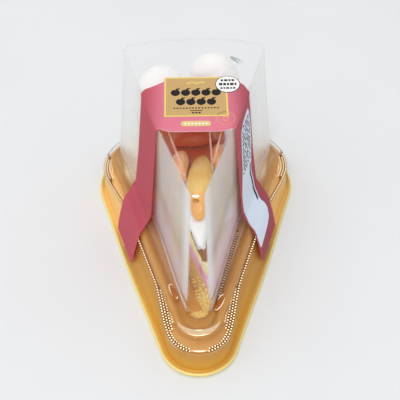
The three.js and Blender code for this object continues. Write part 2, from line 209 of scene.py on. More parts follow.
def add_mesh(name, points, faces, materials, replaces=None, sharp=None, indices=None):
    mesh = bpy.data.meshes.new(name)
    mesh.from_pydata((np.asarray(points) * MM).tolist(), [], faces)
    for material in materials:
        mesh.materials.append(material)
    if indices is not None:
        mesh.polygons.foreach_set("material_index", indices)
    mesh.shade_smooth()
    if sharp is not None:
        mesh.set_sharp_from_angle(angle=math.radians(sharp))
    mesh.update()
    piece = bpy.data.objects.new(name, mesh)
    bpy.context.scene.collection.objects.link(piece)
    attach(piece, BODY)
    if replaces:
        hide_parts(replaces)
    return piece


def merge(parts):
    """One mesh's points and faces from those of several."""
    points = []
    faces = []
    start = 0
    for part_points, part_faces in parts:
        points.append(part_points)
        faces += [tuple(start + k for k in face) for face in part_faces]
        start += len(part_points)
    return np.concatenate(points), faces


def point_normals(points, faces):
    """Mean of the face normals at each point."""
    points = np.asarray(points)
    normals = np.zeros_like(points)
    for corners in (np.array([f for f in faces if len(f) == size]) for size in (3, 4)):
        if len(corners) == 0:
            continue
        across = points[corners[:, 2]] - points[corners[:, 0]]
        other = points[corners[:, -1]] - points[corners[:, 1]]
        normal = np.cross(across, other)
        for column in range(corners.shape[1]):
            np.add.at(normals, corners[:, column], normal)
    length = np.linalg.norm(normals, axis=1, keepdims=True)
    return normals / np.maximum(length, 1e-9)


def displace(points, faces, height):
    """Moves each point along its normal by height(point)."""
    normals = point_normals(points, faces)
    heights = np.array([height(Vector(p)) for p in points])
    return points + normals * heights[:, None]


# Flat plates and outlines seen from above
def plates(name, outlines, level, material, base=PRINT_Z, node="paper_band"):
    """Thin flat plates with the given outlines. Levels lie over each other, a few hundredths of a
    millimetre apart."""
    low = base + 0.004
    high = base + PRINT_STEP * level
    points = []
    faces = []
    for outline in outlines:
        count = len(outline)
        start = len(points)
        for z in (low, high):
            points += [(x, y, z) for x, y in outline]
        faces.append(tuple(range(start, start + count))[::-1])
        faces.append(tuple(range(start + count, start + 2 * count)))
        for i in range(count):
            j = (i + 1) % count
            faces.append((start + i, start + j, start + count + j, start + count + i))
    return add_mesh(name, points, faces, [material], node, 30)


def arc(centre, radius, start, end, steps):
    angles = np.linspace(start, end, steps + 1)
    return np.stack([np.cos(angles), np.sin(angles)], 1) * radius + centre


def oval(x, y, rx, ry, steps=36):
    angles = np.linspace(0, 2 * math.pi, steps, endpoint=False)
    return [(x + rx * math.cos(a), y + ry * math.sin(a)) for a in angles]


def box(x, y, wide, high):
    return [(x - wide / 2, y - high / 2), (x + wide / 2, y - high / 2),
            (x + wide / 2, y + high / 2), (x - wide / 2, y + high / 2)]


def leaf_outline(x, y, length, wide, turn):
    cos, sin = math.cos(turn), math.sin(turn)
    points = []
    for t in np.linspace(0, 2 * math.pi, 24, endpoint=False):
        along = length / 2 * math.cos(t)
        across = wide / 2 * math.sin(t) * (1 - 0.35 * math.cos(t))
        points.append((x + along * cos - across * sin, y + along * sin + across * cos))
    return points


def leaf_between(start, end, wide):
    (x1, y1), (x2, y2) = start, end
    turn = math.atan2(y2 - y1, x2 - x1)
    return leaf_outline((x1 + x2) / 2, (y1 + y2) / 2, math.hypot(x2 - x1, y2 - y1), wide, turn)


def peach_outline(x, y, size):
    """Round fruit with a cleft at its top and a soft point below."""
    points = []
    for angle in np.linspace(0, 2 * math.pi, 48, endpoint=False):
        cleft = 0.16 * math.exp(-((angle - math.pi / 2) / 0.22) ** 2)
        point = 0.06 * math.exp(-((angle - 1.5 * math.pi) / 0.3) ** 2)
        radius = size * (1 - cleft + point)
        points.append((x + radius * math.cos(angle), y + radius * math.sin(angle)))
    return points


# Materials
class Look:
    """A material in the making: adds nodes, feeds their inputs and links them."""

    def __init__(self, name):
        self.material = bpy.data.materials.new(name)
        self.material.use_nodes = True
        self.tree = self.material.node_tree
        self.tree.nodes.clear()
        self.place = self.node("ShaderNodeTexCoord").outputs["Object"]

    def feed(self, socket, value):
        if isinstance(value, bpy.types.NodeSocket):
            self.tree.links.new(value, socket)
        else:
            socket.default_value = value

    def node(self, kind, settings=(), **inputs):
        made = self.tree.nodes.new(kind)
        for key, value in dict(settings).items():
            setattr(made, key, value)
        for key, value in inputs.items():
            self.feed(made.inputs[key.replace("_", " ")], value)
        return made

    def math(self, operation, *values):
        made = self.tree.nodes.new("ShaderNodeMath")
        made.operation = operation
        for socket, value in zip(made.inputs, values):
            self.feed(socket, value)
        return made.outputs[0]

    def times(self, *values):
        """Product of the values."""
        product = values[0]
        for value in values[1:]:
            product = self.math("MULTIPLY", product, value)
        return product

    def noise(self, size, detail=3.0, roughness=0.55, stretch=(1, 1, 1)):
        """Noise with features of about size, in millimetres."""
        scaled = self.node("ShaderNodeMapping", Vector=self.place, Scale=stretch)
        made = self.node("ShaderNodeTexNoise", Vector=scaled.outputs[0], Scale=1 / (size * MM),
                         Detail=detail, Roughness=roughness)
        return made.outputs["Fac"]

    def cells(self, size):
        made = self.node("ShaderNodeTexVoronoi", Vector=self.place, Scale=1 / (size * MM))
        return made.outputs["Distance"]

    def axis(self, name):
        return self.node("ShaderNodeSeparateXYZ", Vector=self.place).outputs[name]

    def from_side(self):
        """Distance from the middle along the normal of the pack's straight sides."""
        aside = self.math("MULTIPLY", self.math("ABSOLUTE", self.axis("X")), math.cos(HALF_ANGLE))
        return self.math("MULTIPLY_ADD", self.axis("Y"), -math.sin(HALF_ANGLE), aside)

    def ramp(self, share, stops):
        made = self.node("ShaderNodeValToRGB", Fac=share)
        made.color_ramp.interpolation = "EASE"
        elements = made.color_ramp.elements
        elements[0].position, elements[0].color = stops[0]
        elements[1].position, elements[1].color = stops[-1]
        for position, colour in stops[1:-1]:
            elements.new(position).color = colour
        return made.outputs["Color"]

    def span(self, value, low, high, to_low=0.0, to_high=1.0, soft=False):
        kind = "SMOOTHSTEP" if soft else "LINEAR"
        made = self.node("ShaderNodeMapRange", dict(interpolation_type=kind), Value=value,
                         From_Min=low, From_Max=high, To_Min=to_low, To_Max=to_high)
        return made.outputs["Result"]

    def blend(self, share, a, b):
        made = self.tree.nodes.new("ShaderNodeMix")
        made.data_type = "RGBA"
        self.feed(made.inputs[0], share)
        self.feed(made.inputs[6], a)
        self.feed(made.inputs[7], b)
        return made.outputs[2]

    def bump(self, height, depth, strength=1.0, below=None):
        """Relief of the given depth, in millimetres."""
        made = self.node("ShaderNodeBump", Height=height, Strength=strength, Distance=depth * MM)
        if below is not None:
            self.feed(made.inputs["Normal"], below)
        return made.outputs[0]

    def mix(self, share, first, second):
        """Shader that goes from the first to the second by a share."""
        made = self.node("ShaderNodeMixShader", Fac=share)
        self.feed(made.inputs[1], first)
        self.feed(made.inputs[2], second)
        return made.outputs[0]

    def done(self, shader):
        self.node("ShaderNodeOutputMaterial", Surface=shader)
        return self.material

    def principled(self, **inputs):
        return self.node("ShaderNodeBsdfPrincipled", **inputs).outputs[0]


def gold_look(name, deep, pale, foot, back):
    """Metallised sheet, satin, a little cloudy where it was drawn. The skirt's colour goes from foot
    at the nose to back behind it, a painted reflection; the flange under the rear of the dome is
    pale, a painted reflection of the misty walls; the right side is darker, painted shade."""
    look = Look(name)
    drawn = look.ramp(look.noise(14, 3), [(0.3, srgb(*deep)), (0.7, srgb(*pale))])
    # Painted reflection: the skirt is deeper orange at the nose and tan behind it
    skirt_reflection = look.blend(look.span(look.axis("Y"), -0.04, 0.0), srgb(*foot), srgb(*back))
    colour = look.blend(look.span(look.axis("Z"), 0.0085, 0.004), drawn, skirt_reflection)
    # Painted reflection: the flange under the rear of the dome turns pale, for the misty walls over
    # it
    pale_under_dome_reflection = look.times(
        look.span(look.axis("Y"), 0.03, 0.04, soft=True),
        look.span(look.from_side(), 0.0225, 0.02, soft=True),
        look.span(look.axis("Y"), 0.066, 0.063),
        look.span(look.math("ABSOLUTE", look.axis("X")), 0.0365, 0.0345),
    )
    colour = look.blend(pale_under_dome_reflection, colour, srgb(255, 240, 208))
    # Painted shade: the gold darkens towards the right, the side away from the lamps
    right = look.span(look.axis("X"), 0.004, 0.03, 0, 0.2)
    colour = look.blend(right, colour, srgb(150, 98, 48))
    rough = look.span(look.noise(5, 4), 0.3, 0.7, 0.42, 0.5)
    normal = look.bump(look.noise(0.5, 2), 0.02, 0.5)
    return look.done(look.principled(Base_Color=colour, Metallic=0.3, Roughness=rough,
                                     Normal=normal))


def mist_tint(look, rear, column, on_dome):
    """Colour of the lid's mist: pastel up the walls, with painted light in white by the creases and
    at the rear, and lighter low on the right.
    """
    tall = look.ramp(look.span(look.axis("Z"), 0.012, 0.079), [
        (0.0, srgb(238, 218, 224)), (0.22, srgb(238, 226, 238)), (0.45, srgb(198, 188, 170)),
        (0.75, srgb(204, 186, 166)), (1.0, srgb(218, 196, 180)),
    ])
    clouds = look.ramp(look.noise(10, 1, stretch=(1, 1, 0.2)), [
        (0.3, srgb(244, 208, 214)), (0.42, srgb(216, 222, 240)), (0.5, srgb(230, 226, 200)),
        (0.58, srgb(214, 218, 236)), (0.7, srgb(240, 214, 232)),
    ])
    tint = look.blend(0.42, tall, clouds)
    # Painted highlight: the mist turns white by the nose's creases and at the rear
    tint = look.blend(look.math("MAXIMUM", column, rear), tint, srgb(246, 248, 248))
    # Painted light: the lower right walls are lightened where the lamps leave them in shade
    low_right_painted_light = look.times(look.span(look.axis("X"), 0.002, 0.012, 0, 0.5),
                           look.span(look.axis("Z"), 0.042, 0.028))
    tint = look.blend(low_right_painted_light, tint, srgb(255, 250, 255))
    return look.blend(on_dome, srgb(248, 216, 164), tint)


def mist_share(look, facing, rear, column, on_dome, haze, veil):
    """How much of the lid's sheet is mist."""
    foot = look.times(look.span(look.from_side(), 0.0162, 0.0174, soft=True),
                      look.span(look.axis("Z"), 0.0182, 0.0172, 0, 0.85),
                      look.span(look.axis("Y"), -0.0435, -0.036, soft=True))
    low_angle = look.math("MAXIMUM", look.span(facing, 0.58, 0.76, soft=True), foot)
    thin = look.span(look.noise(2.2, 4, stretch=(1, 1, 0.12)), 0.35, 0.75, haze * 0.3, haze)
    broad = look.span(look.noise(11, 2, stretch=(1, 1, 0.3)), 0.3, 0.7, veil * 0.85, veil)
    broad = look.times(broad, look.math("MULTIPLY_ADD", rear, -0.5, 1.0))
    # Painted light: extra white mist on the right-hand crease, which lies in shade
    right_crease_brightening = look.span(look.axis("X"), 0.0, 0.004, 0.12, 0.26)
    broad = look.math("MULTIPLY_ADD", column, right_crease_brightening, broad)
    broad = look.times(broad, look.math("MULTIPLY_ADD", on_dome, 0.86, 0.14))
    return look.math("MULTIPLY_ADD", low_angle, broad, thin)


def clear_look(name, haze, veil):
    """Clear thermoformed sheet. Its haze is a trace of scattered white in drawn streaks, and its
    veil is the mist that shows where the sheet is seen at a low angle."""
    look = Look(name)
    white = srgb(255, 255, 255)
    facing = look.node("ShaderNodeLayerWeight", Blend=0.5).outputs["Facing"]
    rear = look.span(look.axis("Y"), 0.022, 0.036, soft=True)
    # Painted highlight: a column of white mist along the nose's creases
    from_crease = look.math("MULTIPLY_ADD", look.axis("Z"), -0.177, look.axis("Y"))
    column = look.times(look.span(from_crease, -0.038, -0.0475, soft=True),
                        look.span(look.axis("Z"), 0.012, 0.032, 0.4, 0.9))
    on_dome = look.times(look.span(look.from_side(), 0.0213, 0.0206),
                         look.span(look.axis("Y"), -0.0519, -0.0514),
                         look.span(look.axis("Z"), 0.0122, 0.0129))
    tint = mist_tint(look, rear, column, on_dome)
    front = look.node("ShaderNodeBsdfDiffuse", Color=tint)
    behind = look.node("ShaderNodeBsdfTranslucent", Color=tint)
    mist = look.mix(0.35, front.outputs[0], behind.outputs[0])
    normal = look.bump(look.noise(14, 2, stretch=(1, 1, 0.3)), 0.2, 0.5)
    gloss = look.node("ShaderNodeBsdfGlossy", Color=white, Roughness=0.08, Normal=normal)
    through = look.node("ShaderNodeBsdfTransparent", Color=white)
    shine = look.math("MULTIPLY_ADD", look.span(facing, 0.4, 0.85, soft=True), 0.36, 0.013)
    sheet = look.mix(shine, through.outputs[0], gloss.outputs[0])
    share = mist_share(look, facing, rear, column, on_dome, haze, veil)
    return look.done(look.mix(share, sheet, mist))


def painted_glow_look(name, glow, strength):
    """White material whose emission is a painted glow, for the light that beads and highlights
    catch.
    """
    look = Look(name)
    tone = look.ramp(look.noise(6, 2), [(0.3, srgb(255, 240, 206)), (0.7, srgb(255, 250, 236))])
    shader = look.principled(Base_Color=tone, Roughness=0.14, Specular_IOR_Level=0.8,
                             Emission_Color=srgb(*glow), Emission_Strength=strength)
    return look.done(shader)


def tint_look(name, low, high, alpha):
    """Thin see-through film of colour. Most of these films paint shade, highlights or reflections
    into the moulded sheet, where it bends the light from the gold below.
    """
    look = Look(name)
    tone = look.ramp(look.noise(3, 2), [(0.3, srgb(*low)), (0.7, srgb(*high))])
    shader = look.principled(Base_Color=tone, Roughness=0.7, Specular_IOR_Level=0.1, Alpha=alpha)
    return look.done(shader)


def paper_look(name, colour, rough=0.6, fleck=5, glow=0.0, aside=None):
    """Printed card: a flat ink with a trace of fibre, and light that glows through it. Painted
    shade: the ink deepens to the colour aside towards the folds and down the legs, lighter low on
    the legs and darker on the right leg."""
    look = Look(name)
    red, green, blue = colour
    low = srgb(max(red - fleck, 0), max(green - fleck, 0), max(blue - fleck, 0))
    ink = look.ramp(look.noise(3, 5, 0.7), [(0.25, low), (0.75, srgb(*colour))])
    if aside:
        # Painted shade: darker towards the folds and down the legs, lighter low down, darker on the
        # right
        out = look.span(look.math("ABSOLUTE", look.axis("X")), 0.0118, 0.0235, soft=True)
        down = look.span(look.axis("Z"), 0.0785, 0.076, soft=True)
        red, green, blue = aside
        lower_painted_light = look.span(look.axis("Z"), 0.05, 0.02)
        leg_painted_shade = look.blend(lower_painted_light, srgb(*aside), srgb(red + 10, green + 6, blue + 8))
        right = look.span(look.axis("X"), 0.015, 0.021)
        leg_painted_shade = look.blend(right, leg_painted_shade, srgb(red - 22, green - 2, blue - 2))
        ink = look.blend(look.math("MAXIMUM", out, down), ink, leg_painted_shade)
    normal = look.bump(look.noise(0.35, 3), 0.02, 0.5)
    card = look.principled(Base_Color=ink, Roughness=rough, Normal=normal, Specular_IOR_Level=0.2)
    if not glow:
        return look.done(card)
    through = look.node("ShaderNodeBsdfTranslucent", Color=srgb(255, 118, 62), Normal=normal)
    return look.done(look.mix(glow, card, through.outputs[0]))


def crumbs_look():
    """Loose crumbs of the golden crust and the yellow inside, with a faint painted glow."""
    look = Look("loose_crumbs")
    tone = look.ramp(look.noise(1.1, 2), [(0.35, srgb(240, 206, 120)), (0.6, srgb(252, 236, 170))])
    normal = look.bump(look.noise(0.3, 3), 0.1, 0.7)
    # Painted light: a faint glow lightens the crumbs in the shade of the slice and the lid
    shader = look.principled(Base_Color=tone, Roughness=0.85, Normal=normal,
                             Emission_Color=srgb(255, 232, 140), Emission_Strength=0.12)
    return look.done(shader)


def sponge_look(name, low, high):
    """Open crumb: pale walls with painted shade in the pores, a brown crust at the top,
    deepened at the tip as painted shade under the cream's lip, and a pink edge where the filling
    soaks in."""
    look = Look(name)
    pores = look.cells(1.1)
    fine = look.noise(0.6, 4, 0.7)
    patches = look.noise(5, 3)
    pale = look.ramp(patches, [(0.3, srgb(*low)), (0.7, srgb(*high))])
    # Painted shade: the pores are coloured darker where the bump makes pits
    deep = look.span(pores, 0.0, 0.32, 0.6, 0.0)
    crumb_colour = look.blend(deep, pale, srgb(224, 172, 88))
    ragged = look.math("MULTIPLY_ADD", look.noise(1.6, 3), 0.002, look.axis("Z"))
    # Painted shade: the top crust is deepened at the tip, under the cream's overhang
    tip_shade = look.span(look.axis("Y"), -0.018, -0.03, 0.0002, 0.006)
    top_skin = look.span(look.math("ADD", ragged, tip_shade), 0.0428, 0.0438, soft=True)
    soaked = look.times(look.span(ragged, 0.0168, 0.0184, soft=True),
                        look.span(ragged, 0.0285, 0.0272, soft=True), 0.85)
    crumb_colour = look.blend(soaked, crumb_colour, srgb(236, 168, 186))
    colour = look.blend(top_skin, crumb_colour, srgb(164, 104, 60))
    height = look.math("ADD", look.times(pores, 0.8), look.times(fine, 0.7))
    normal = look.bump(height, 0.5, 0.8)
    shader = look.principled(Base_Color=colour, Roughness=0.9, Normal=normal,
                             Subsurface_Weight=0.15, Subsurface_Radius=(0.004, 0.0028, 0.0012),
                             Subsurface_Scale=0.4)
    return look.done(shader)


def cream_look():
    """Whipped cream with fine pits, and painted shade in crust brown below its lip at the front."""
    look = Look("whipped_cream")
    white = look.ramp(look.noise(6, 3), [(0.3, srgb(253, 251, 247)), (0.7, srgb(255, 255, 253))])
    ragged = look.math("MULTIPLY_ADD", look.noise(1.2, 3), 0.0016, look.axis("Z"))
    # Painted shade: the cream turns brown below its lip at the front, where it overhangs the sponge
    under = look.times(look.span(ragged, 0.0462, 0.0452, soft=True),
                       look.span(look.axis("Y"), 0.04, 0.02))
    colour = look.blend(under, white, srgb(176, 112, 64))
    pits = look.noise(0.45, 3, 0.6)
    soft = look.noise(3.2, 2)
    pulled = look.noise(0.7, 3, 0.6, stretch=(1, 0.12, 0.3))
    normal = look.bump(pulled, 0.14, 0.6, below=look.bump(soft, 0.35, 0.4))
    normal = look.bump(pits, 0.05, 0.5, below=normal)
    shader = look.principled(Base_Color=colour, Roughness=0.5, Normal=normal,
                             Subsurface_Weight=0.5, Subsurface_Radius=(0.006, 0.0055, 0.005),
                             Subsurface_Scale=0.7, Specular_IOR_Level=0.35)
    return look.done(shader)


def filling_look():
    """Cream with soft pink fruit through it."""
    look = Look("peach_cream_filling")
    fruit = look.math("ADD", look.cells(5.5), look.times(look.noise(2, 3), 0.35))
    colour = look.blend(look.span(fruit, 0.45, 0.6), srgb(232, 150, 164), srgb(242, 192, 214))
    normal = look.bump(look.noise(0.8, 4), 0.25, 0.7)
    shader = look.principled(Base_Color=colour, Roughness=0.45, Normal=normal,
                             Subsurface_Weight=0.25, Subsurface_Radius=(0.004, 0.0026, 0.002),
                             Subsurface_Scale=0.5)
    return look.done(shader)


def peach_look(name, low, middle, high, blush, coat):
    """Poached flesh under a clear glaze, with fibres along it and a warmer blush towards the tip."""
    look = Look(name)
    fibres = look.noise(1.3, 4, 0.6, stretch=(1, 0.18, 1))
    broad = look.noise(9, 2)
    colour = look.ramp(fibres, [(0.25, srgb(*low)), (0.55, srgb(*middle)), (0.8, srgb(*high))])
    patches = look.span(broad, 0.5, 0.8, 0, 0.5)
    tip = look.span(look.axis("Y"), -0.0145, -0.0185, 0, 0.85, soft=True)
    warm = look.blend(look.math("MAXIMUM", patches, tip), colour, srgb(*blush))
    normal = look.bump(fibres, 0.18, 0.5)
    shader = look.principled(Base_Color=warm, Roughness=0.32, Normal=normal,
                             Subsurface_Weight=0.45, Subsurface_Radius=(0.006, 0.003, 0.0012),
                             Subsurface_Scale=0.8, Coat_Weight=coat, Coat_Roughness=0.06)
    return look.done(shader)


def glaze_look():
    """Amber fruit glaze, deeper where it is thick. Its red-orange is partly painted light: the red
    light that comes through the pink band above.
    """
    look = Look("amber_glaze_in_band_glow")
    colour = look.ramp(look.noise(4, 3), [(0.3, srgb(216, 100, 46)), (0.7, srgb(224, 114, 56))])
    normal = look.bump(look.noise(2.5, 2), 0.2, 0.5)
    shader = look.principled(Base_Color=colour, Roughness=0.3, Normal=normal,
                             Subsurface_Weight=0.5, Subsurface_Radius=(0.006, 0.002, 0.001),
                             Subsurface_Scale=0.6, Coat_Weight=0.4, Coat_Roughness=0.1)
    return look.done(shader)


GOLD = gold_look("gold_sheet", (204, 146, 66), (212, 156, 80), (222, 166, 66), (200, 152, 86))
# Painted highlight: a lighter copy of the gold for the rolled rim
RIM_HIGHLIGHT_GOLD = gold_look("gold_rim_painted_highlight", (248, 222, 136), (253, 234, 152), (252, 230, 146),
                     (252, 230, 146))
# Painted light: a brighter copy of the gold for the well, which lies in the shade of the cake and
# lid
WELL_LIT_GOLD = gold_look("gold_well_painted_light", (248, 196, 116), (254, 208, 132), (252, 204, 126),
                      (252, 204, 126))
CLEAR = clear_look("clear_sheet", 0.006, 0.64)
# Painted glow: emissive white for the edge beads and the highlight arcs on the nose
PAINTED_GLOW = painted_glow_look("painted_glow_bead", (255, 228, 164), 0.62)
# Painted glint: emissive white for the highlights on the bosses and on the front peach
GLINT = painted_glow_look("painted_glint", (255, 246, 232), 0.5)
BEAD_SHADE = tint_look("bead_shade", (116, 64, 20), (140, 84, 32), 0.5)
FOOT_SHADE = tint_look("foot_shade", (120, 66, 26), (140, 84, 38), 0.4)
PALE_SHEEN = tint_look("pale_sheen", (252, 228, 184), (255, 238, 206), 0.42)
# Painted highlight: whitish film on the clear ribs at the dome's foot
RIB_HIGHLIGHT = tint_look("rib_painted_highlight", (255, 240, 216), (255, 250, 238), 0.62)
# Painted highlight: a pale line along the step low on the left wall
FOOT_LINE_HIGHLIGHT = tint_look("foot_line_painted_highlight", (255, 242, 220), (255, 250, 240), 0.75)
# Painted reflection: pale film for the streaks on the dome's top
TOP_REFLECTION = tint_look("top_painted_reflection", (240, 186, 160), (246, 208, 188), 0.3)
BOSS_AMBER = tint_look("boss_amber", (206, 120, 52), (220, 140, 70), 0.38)
# Painted shade: brown film on the small clear dimples
DIMPLE_SHADE = tint_look("dimple_painted_shade", (150, 70, 26), (176, 92, 36), 0.75)
LEAF_GREY = tint_look("leaf_grey", (160, 166, 168), (184, 190, 190), 0.48)
PINK = paper_look("pink_card", (250, 164, 190), glow=0.4, aside=(206, 108, 124))
CARD_EDGE = paper_look("card_edge", (206, 92, 108))
CORE = paper_look("card_core", (244, 196, 204))
LABEL_GOLD = paper_look("label_gold", (208, 172, 116), 0.45)
LABEL_EDGE = paper_look("label_edge", (244, 218, 118), 0.4)
INK_BLACK = paper_look("ink_black", (34, 28, 26), 0.45, 3)
INK_GREY = paper_look("ink_grey", (70, 70, 80), 0.55, 4)
INK_DARK = paper_look("ink_dark", (30, 28, 36), 0.55, 4)
BADGE_WHITE = paper_look("badge_white", (250, 250, 248), 0.5, 2)
INFO_WHITE = paper_look("info_white", (222, 232, 246), 0.5, 3)
PILL_CREAM = paper_look("pill_cream", (236, 208, 140), 0.45)
STAMP_LINE = paper_look("stamp_line", (252, 186, 128), 0.45)
SPONGE = sponge_look("sponge_crumb", (248, 228, 172), (254, 240, 198))
# Painted reflection and shade: the lower sponge is a deeper amber, for the gold tray in the nose
SPONGE_GOLD_REFLECTION = sponge_look("sponge_amber_painted_reflection", (254, 214, 134), (255, 226, 156))
CRUMBS = crumbs_look()
CREAM = cream_look()
FILLING = filling_look()
PEACH = peach_look("peach_flesh", (226, 186, 92), (234, 200, 112), (242, 216, 142),
                   (240, 172, 92), 0.4)
PEACH_WARM = peach_look("peach_warm_side", (244, 184, 126), (250, 200, 146), (254, 216, 168),
                        (238, 156, 104), 0.4)
# Partly painted light: red flesh by the stone, deepened for the red light through the pink band
PEACH_RED = peach_look("peach_by_the_stone_in_band_glow", (214, 100, 46), (218, 108, 52), (222, 116, 58),
                       (210, 98, 46), 0.1)
GLAZE = glaze_look()
# Painted shade: ochre for the dark line under the glint on the front peach
GLINT_DARK_LINE = peach_look("painted_dark_line", (186, 122, 14), (192, 130, 20), (200, 138, 26), (190, 128, 18), 0.1)


# Tray
def beside(points, contour):
    """Above 0 for points outside a contour and below 0 for points inside it. The points are rings
    with as many corners as the contour."""
    edge = ring(contour, 0)[:, :2]
    offset = points[:, :2].reshape(-1, len(edge), 2) - edge
    return np.einsum("kij,ij->ki", offset, edge).ravel()


def make_tray():
    under = FLANGE_Z - SHEET
    rings = [
        ring(grow(WELL, 0.1), 0),
        ring(grow(WELL, SHEET), SHEET),
        ring(stage(4), VALLEY_Z - 1.3, under - 0.2),
        ring(stage(3.1), VALLEY_Z - SHEET, under),
        ring(stage(2.6), RIDGE_Z - SHEET - 0.5, under),
        ring(stage(2.4), RIDGE_Z - SHEET - 0.2, under),
        ring(stage(2.13), RIDGE_Z - SHEET - 0.8, under),
        ring(stage(1.98), under),
        ring(stage(1.13), under - 0.3),
        ring(grow(stage(0.75), -SHEET), 4.4),
        ring(grow(RIM, -4), SHEET),
        ring(grow(RIM, -3), 0),
        ring(grow(RIM, -1.3), 0),
        ring(grow(RIM, -0.3), 0.9),
        ring(RIM, RIM_TOP - 0.6),
        ring(grow(RIM, -0.7), RIM_TOP),
        ring(grow(RIM, -1.5), RIM_TOP - 0.6),
        ring(grow(RIM, -2.4), GROOVE_Z),
        ring(grow(RIM, -3.1), GROOVE_Z + 0.3),
        ring(stage(0.75), 5),
        ring(stage(1), FLANGE_Z - 0.4),
        ring(stage(1.88), FLANGE_Z),
        ring(stage(2), RIDGE_Z - 0.6, FLANGE_Z),
        ring(stage(2.25), RIDGE_Z, FLANGE_Z),
        ring(stage(2.55), RIDGE_Z - 0.3, FLANGE_Z),
        ring(stage(3), VALLEY_Z, FLANGE_Z),
        ring(stage(3.9), VALLEY_Z - 0.4, FLANGE_Z - 0.1),
        ring(stage(4.35), VALLEY_Z - 0.9, FLANGE_Z - 0.5),
        ring(stage(5), FLOOR_Z + SHEET),
        ring(grow(WELL, -0.8), FLOOR_Z),
    ]
    points, faces = skin(round_profile(rings, 0.6))
    on_rim = (beside(points, grow(RIM, -2.3)) > 0) & (points[:, 2] < RIM_TOP + 0.2)
    in_well = (beside(points, grow(WELL, 1)) < 0) & (points[:, 2] > 0.8)
    indices = []
    for face in faces:
        corners = list(face)
        indices.append(1 if all(on_rim[corners]) else 2 if all(in_well[corners]) else 0)
    looks = [GOLD, RIM_HIGHLIGHT_GOLD, WELL_LIT_GOLD]
    return add_mesh("tray_gold", points, faces, looks, "tray", None, indices)


# Lid
def make_lid():
    over = RIDGE_Z + LID_GAP
    flat = FLANGE_Z + LID_GAP
    low = VALLEY_Z + LID_GAP
    edge = LID_GAP + LID_SHEET
    inside = [
        ring(grow(TOP, -3), LID_TOP - LID_SHEET),
        wall_ring(1, 1, LID_TOP - LID_SHEET - 0.5),
        wall_ring(0.5, 0.98, LID_TOP - 2),
        wall_ring(0.5, 0.1, 18.4),
        wall_ring(-0.1, 0.07, 16.8),
        wall_ring(0.6, 0, low + 0.3),
        ring(stage(3.9), low - 0.2, flat),
        ring(stage(3), low + 0.05, flat),
        ring(stage(2.55), over - 0.2, flat),
        ring(stage(2.25), over, flat),
        ring(stage(1.9), over - 0.6, flat),
        ring(stage(1.78), flat),
        ring(grow(FLANGE, LID_GAP), flat),
        ring(grow(FLANGE, LID_GAP), FLANGE_Z - 0.7),
    ]
    outside = [
        ring(grow(FLANGE, edge), FLANGE_Z - 0.7),
        ring(grow(FLANGE, edge), flat + 0.2),
        ring(grow(FLANGE, edge - 0.3), flat + LID_SHEET),
        ring(stage(1.68), flat + LID_SHEET),
        ring(stage(1.79), over - 0.2, flat + LID_SHEET),
        ring(stage(2.25), over + LID_SHEET, flat + LID_SHEET),
        ring(stage(2.6), over + LID_SHEET - 0.2, flat + LID_SHEET),
        ring(stage(3.05), low + LID_SHEET + 0.1, flat + LID_SHEET),
        ring(stage(3.7), low + LID_SHEET - 0.1, flat + LID_SHEET),
        wall_ring(0, 0, low + LID_SHEET + 0.3),
        wall_ring(-0.6, 0.07, 16.8),
        wall_ring(0, 0.1, 18.4),
        wall_ring(0, 0.98, LID_TOP - 1.5),
        wall_ring(0.6, 1, LID_TOP - 0.4),
        ring(grow(TOP, -2.2), LID_TOP),
    ]
    points, faces = skin(round_profile(inside + outside, 0.5))
    return add_mesh("lid_clear", points, faces, [CLEAR], "lid")


# Rows of small beads on the lid's edge and of short ribs at the dome's foot: distances between
# beads and between rows, and how long, wide and high a bead is
BEAD_PITCH = 1.5
BEAD_RINGS = 4
BEAD_SIDES = 8
NET_STEP = 1.2
EDGE_BEAD = (0.9, 0.75, 0.5)
NET_BEAD = (0.82, 0.78, 0.42)
NET_UNEVEN = 0.08
FIRST_ROW = -0.75
RIB_SIZE = (1.4, 0.6, 0.6)


def along_contour(contour):
    """Even points along a contour, two for each bead, with their outward normals."""
    loop = ring(contour, 0)[:, :2]
    closed = np.concatenate([loop, loop[:1]])
    lengths = np.concatenate([[0], np.cumsum(np.linalg.norm(np.diff(closed, axis=0), axis=1))])
    count = round(lengths[-1] / BEAD_PITCH) * 2
    at = np.arange(count) / count * lengths[-1]
    points = np.stack([np.interp(at, lengths, closed[:, k]) for k in (0, 1)], 1)
    tangent = np.roll(points, -1, axis=0) - np.roll(points, 1, axis=0)
    normals = np.stack([tangent[:, 1], -tangent[:, 0]], 1)
    return points, normals / np.linalg.norm(normals, axis=1, keepdims=True)




def bead(centre, normal, long, wide, high):
    """Half ellipsoid with its long axis along the normal."""
    tangent = np.array([-normal[1], normal[0]])
    rings = []
    for level in range(BEAD_RINGS + 1):
        t = level / BEAD_RINGS * math.pi * 0.47
        turns = np.arange(BEAD_SIDES) / BEAD_SIDES * 2 * math.pi
        plan = (np.outer(np.cos(turns), normal) * long + np.outer(np.sin(turns), tangent) * wide) / 2
        z = np.full(BEAD_SIDES, centre[2] + high * math.sin(t))
        rings.append(np.column_stack([plan * math.cos(t) + centre[:2], z]))
    return skin(rings)


def bead_row(contour, out, z, size, shown, shift=0, uneven=0.0):
    """Beads at a distance out from a contour, where shown(x, y) says so."""
    points, normals = along_contour(contour)
    draw = random.Random(shift + 3)
    row = []
    for point, normal in list(zip(points, normals))[shift::2]:
        if shown(*point):
            place = point + normal * out
            scale = 1 + draw.uniform(-uneven, uneven)
            row.append(bead(np.array([*place, z]), normal, *[scale * value for value in size]))
    return row


def edge_shown(x, y):
    return abs(x) > 3.8 and y < 52


def ribs_shown(x, y):
    return -38 < y < 0 and x > 7.5


def net_shown(x, y):
    """The edge's beads spread to a net on the shoulders of the nose and at the rear corners."""
    return -56 < y < -33 and abs(x) > 8 or 35 < y < 50 and abs(x) > 30


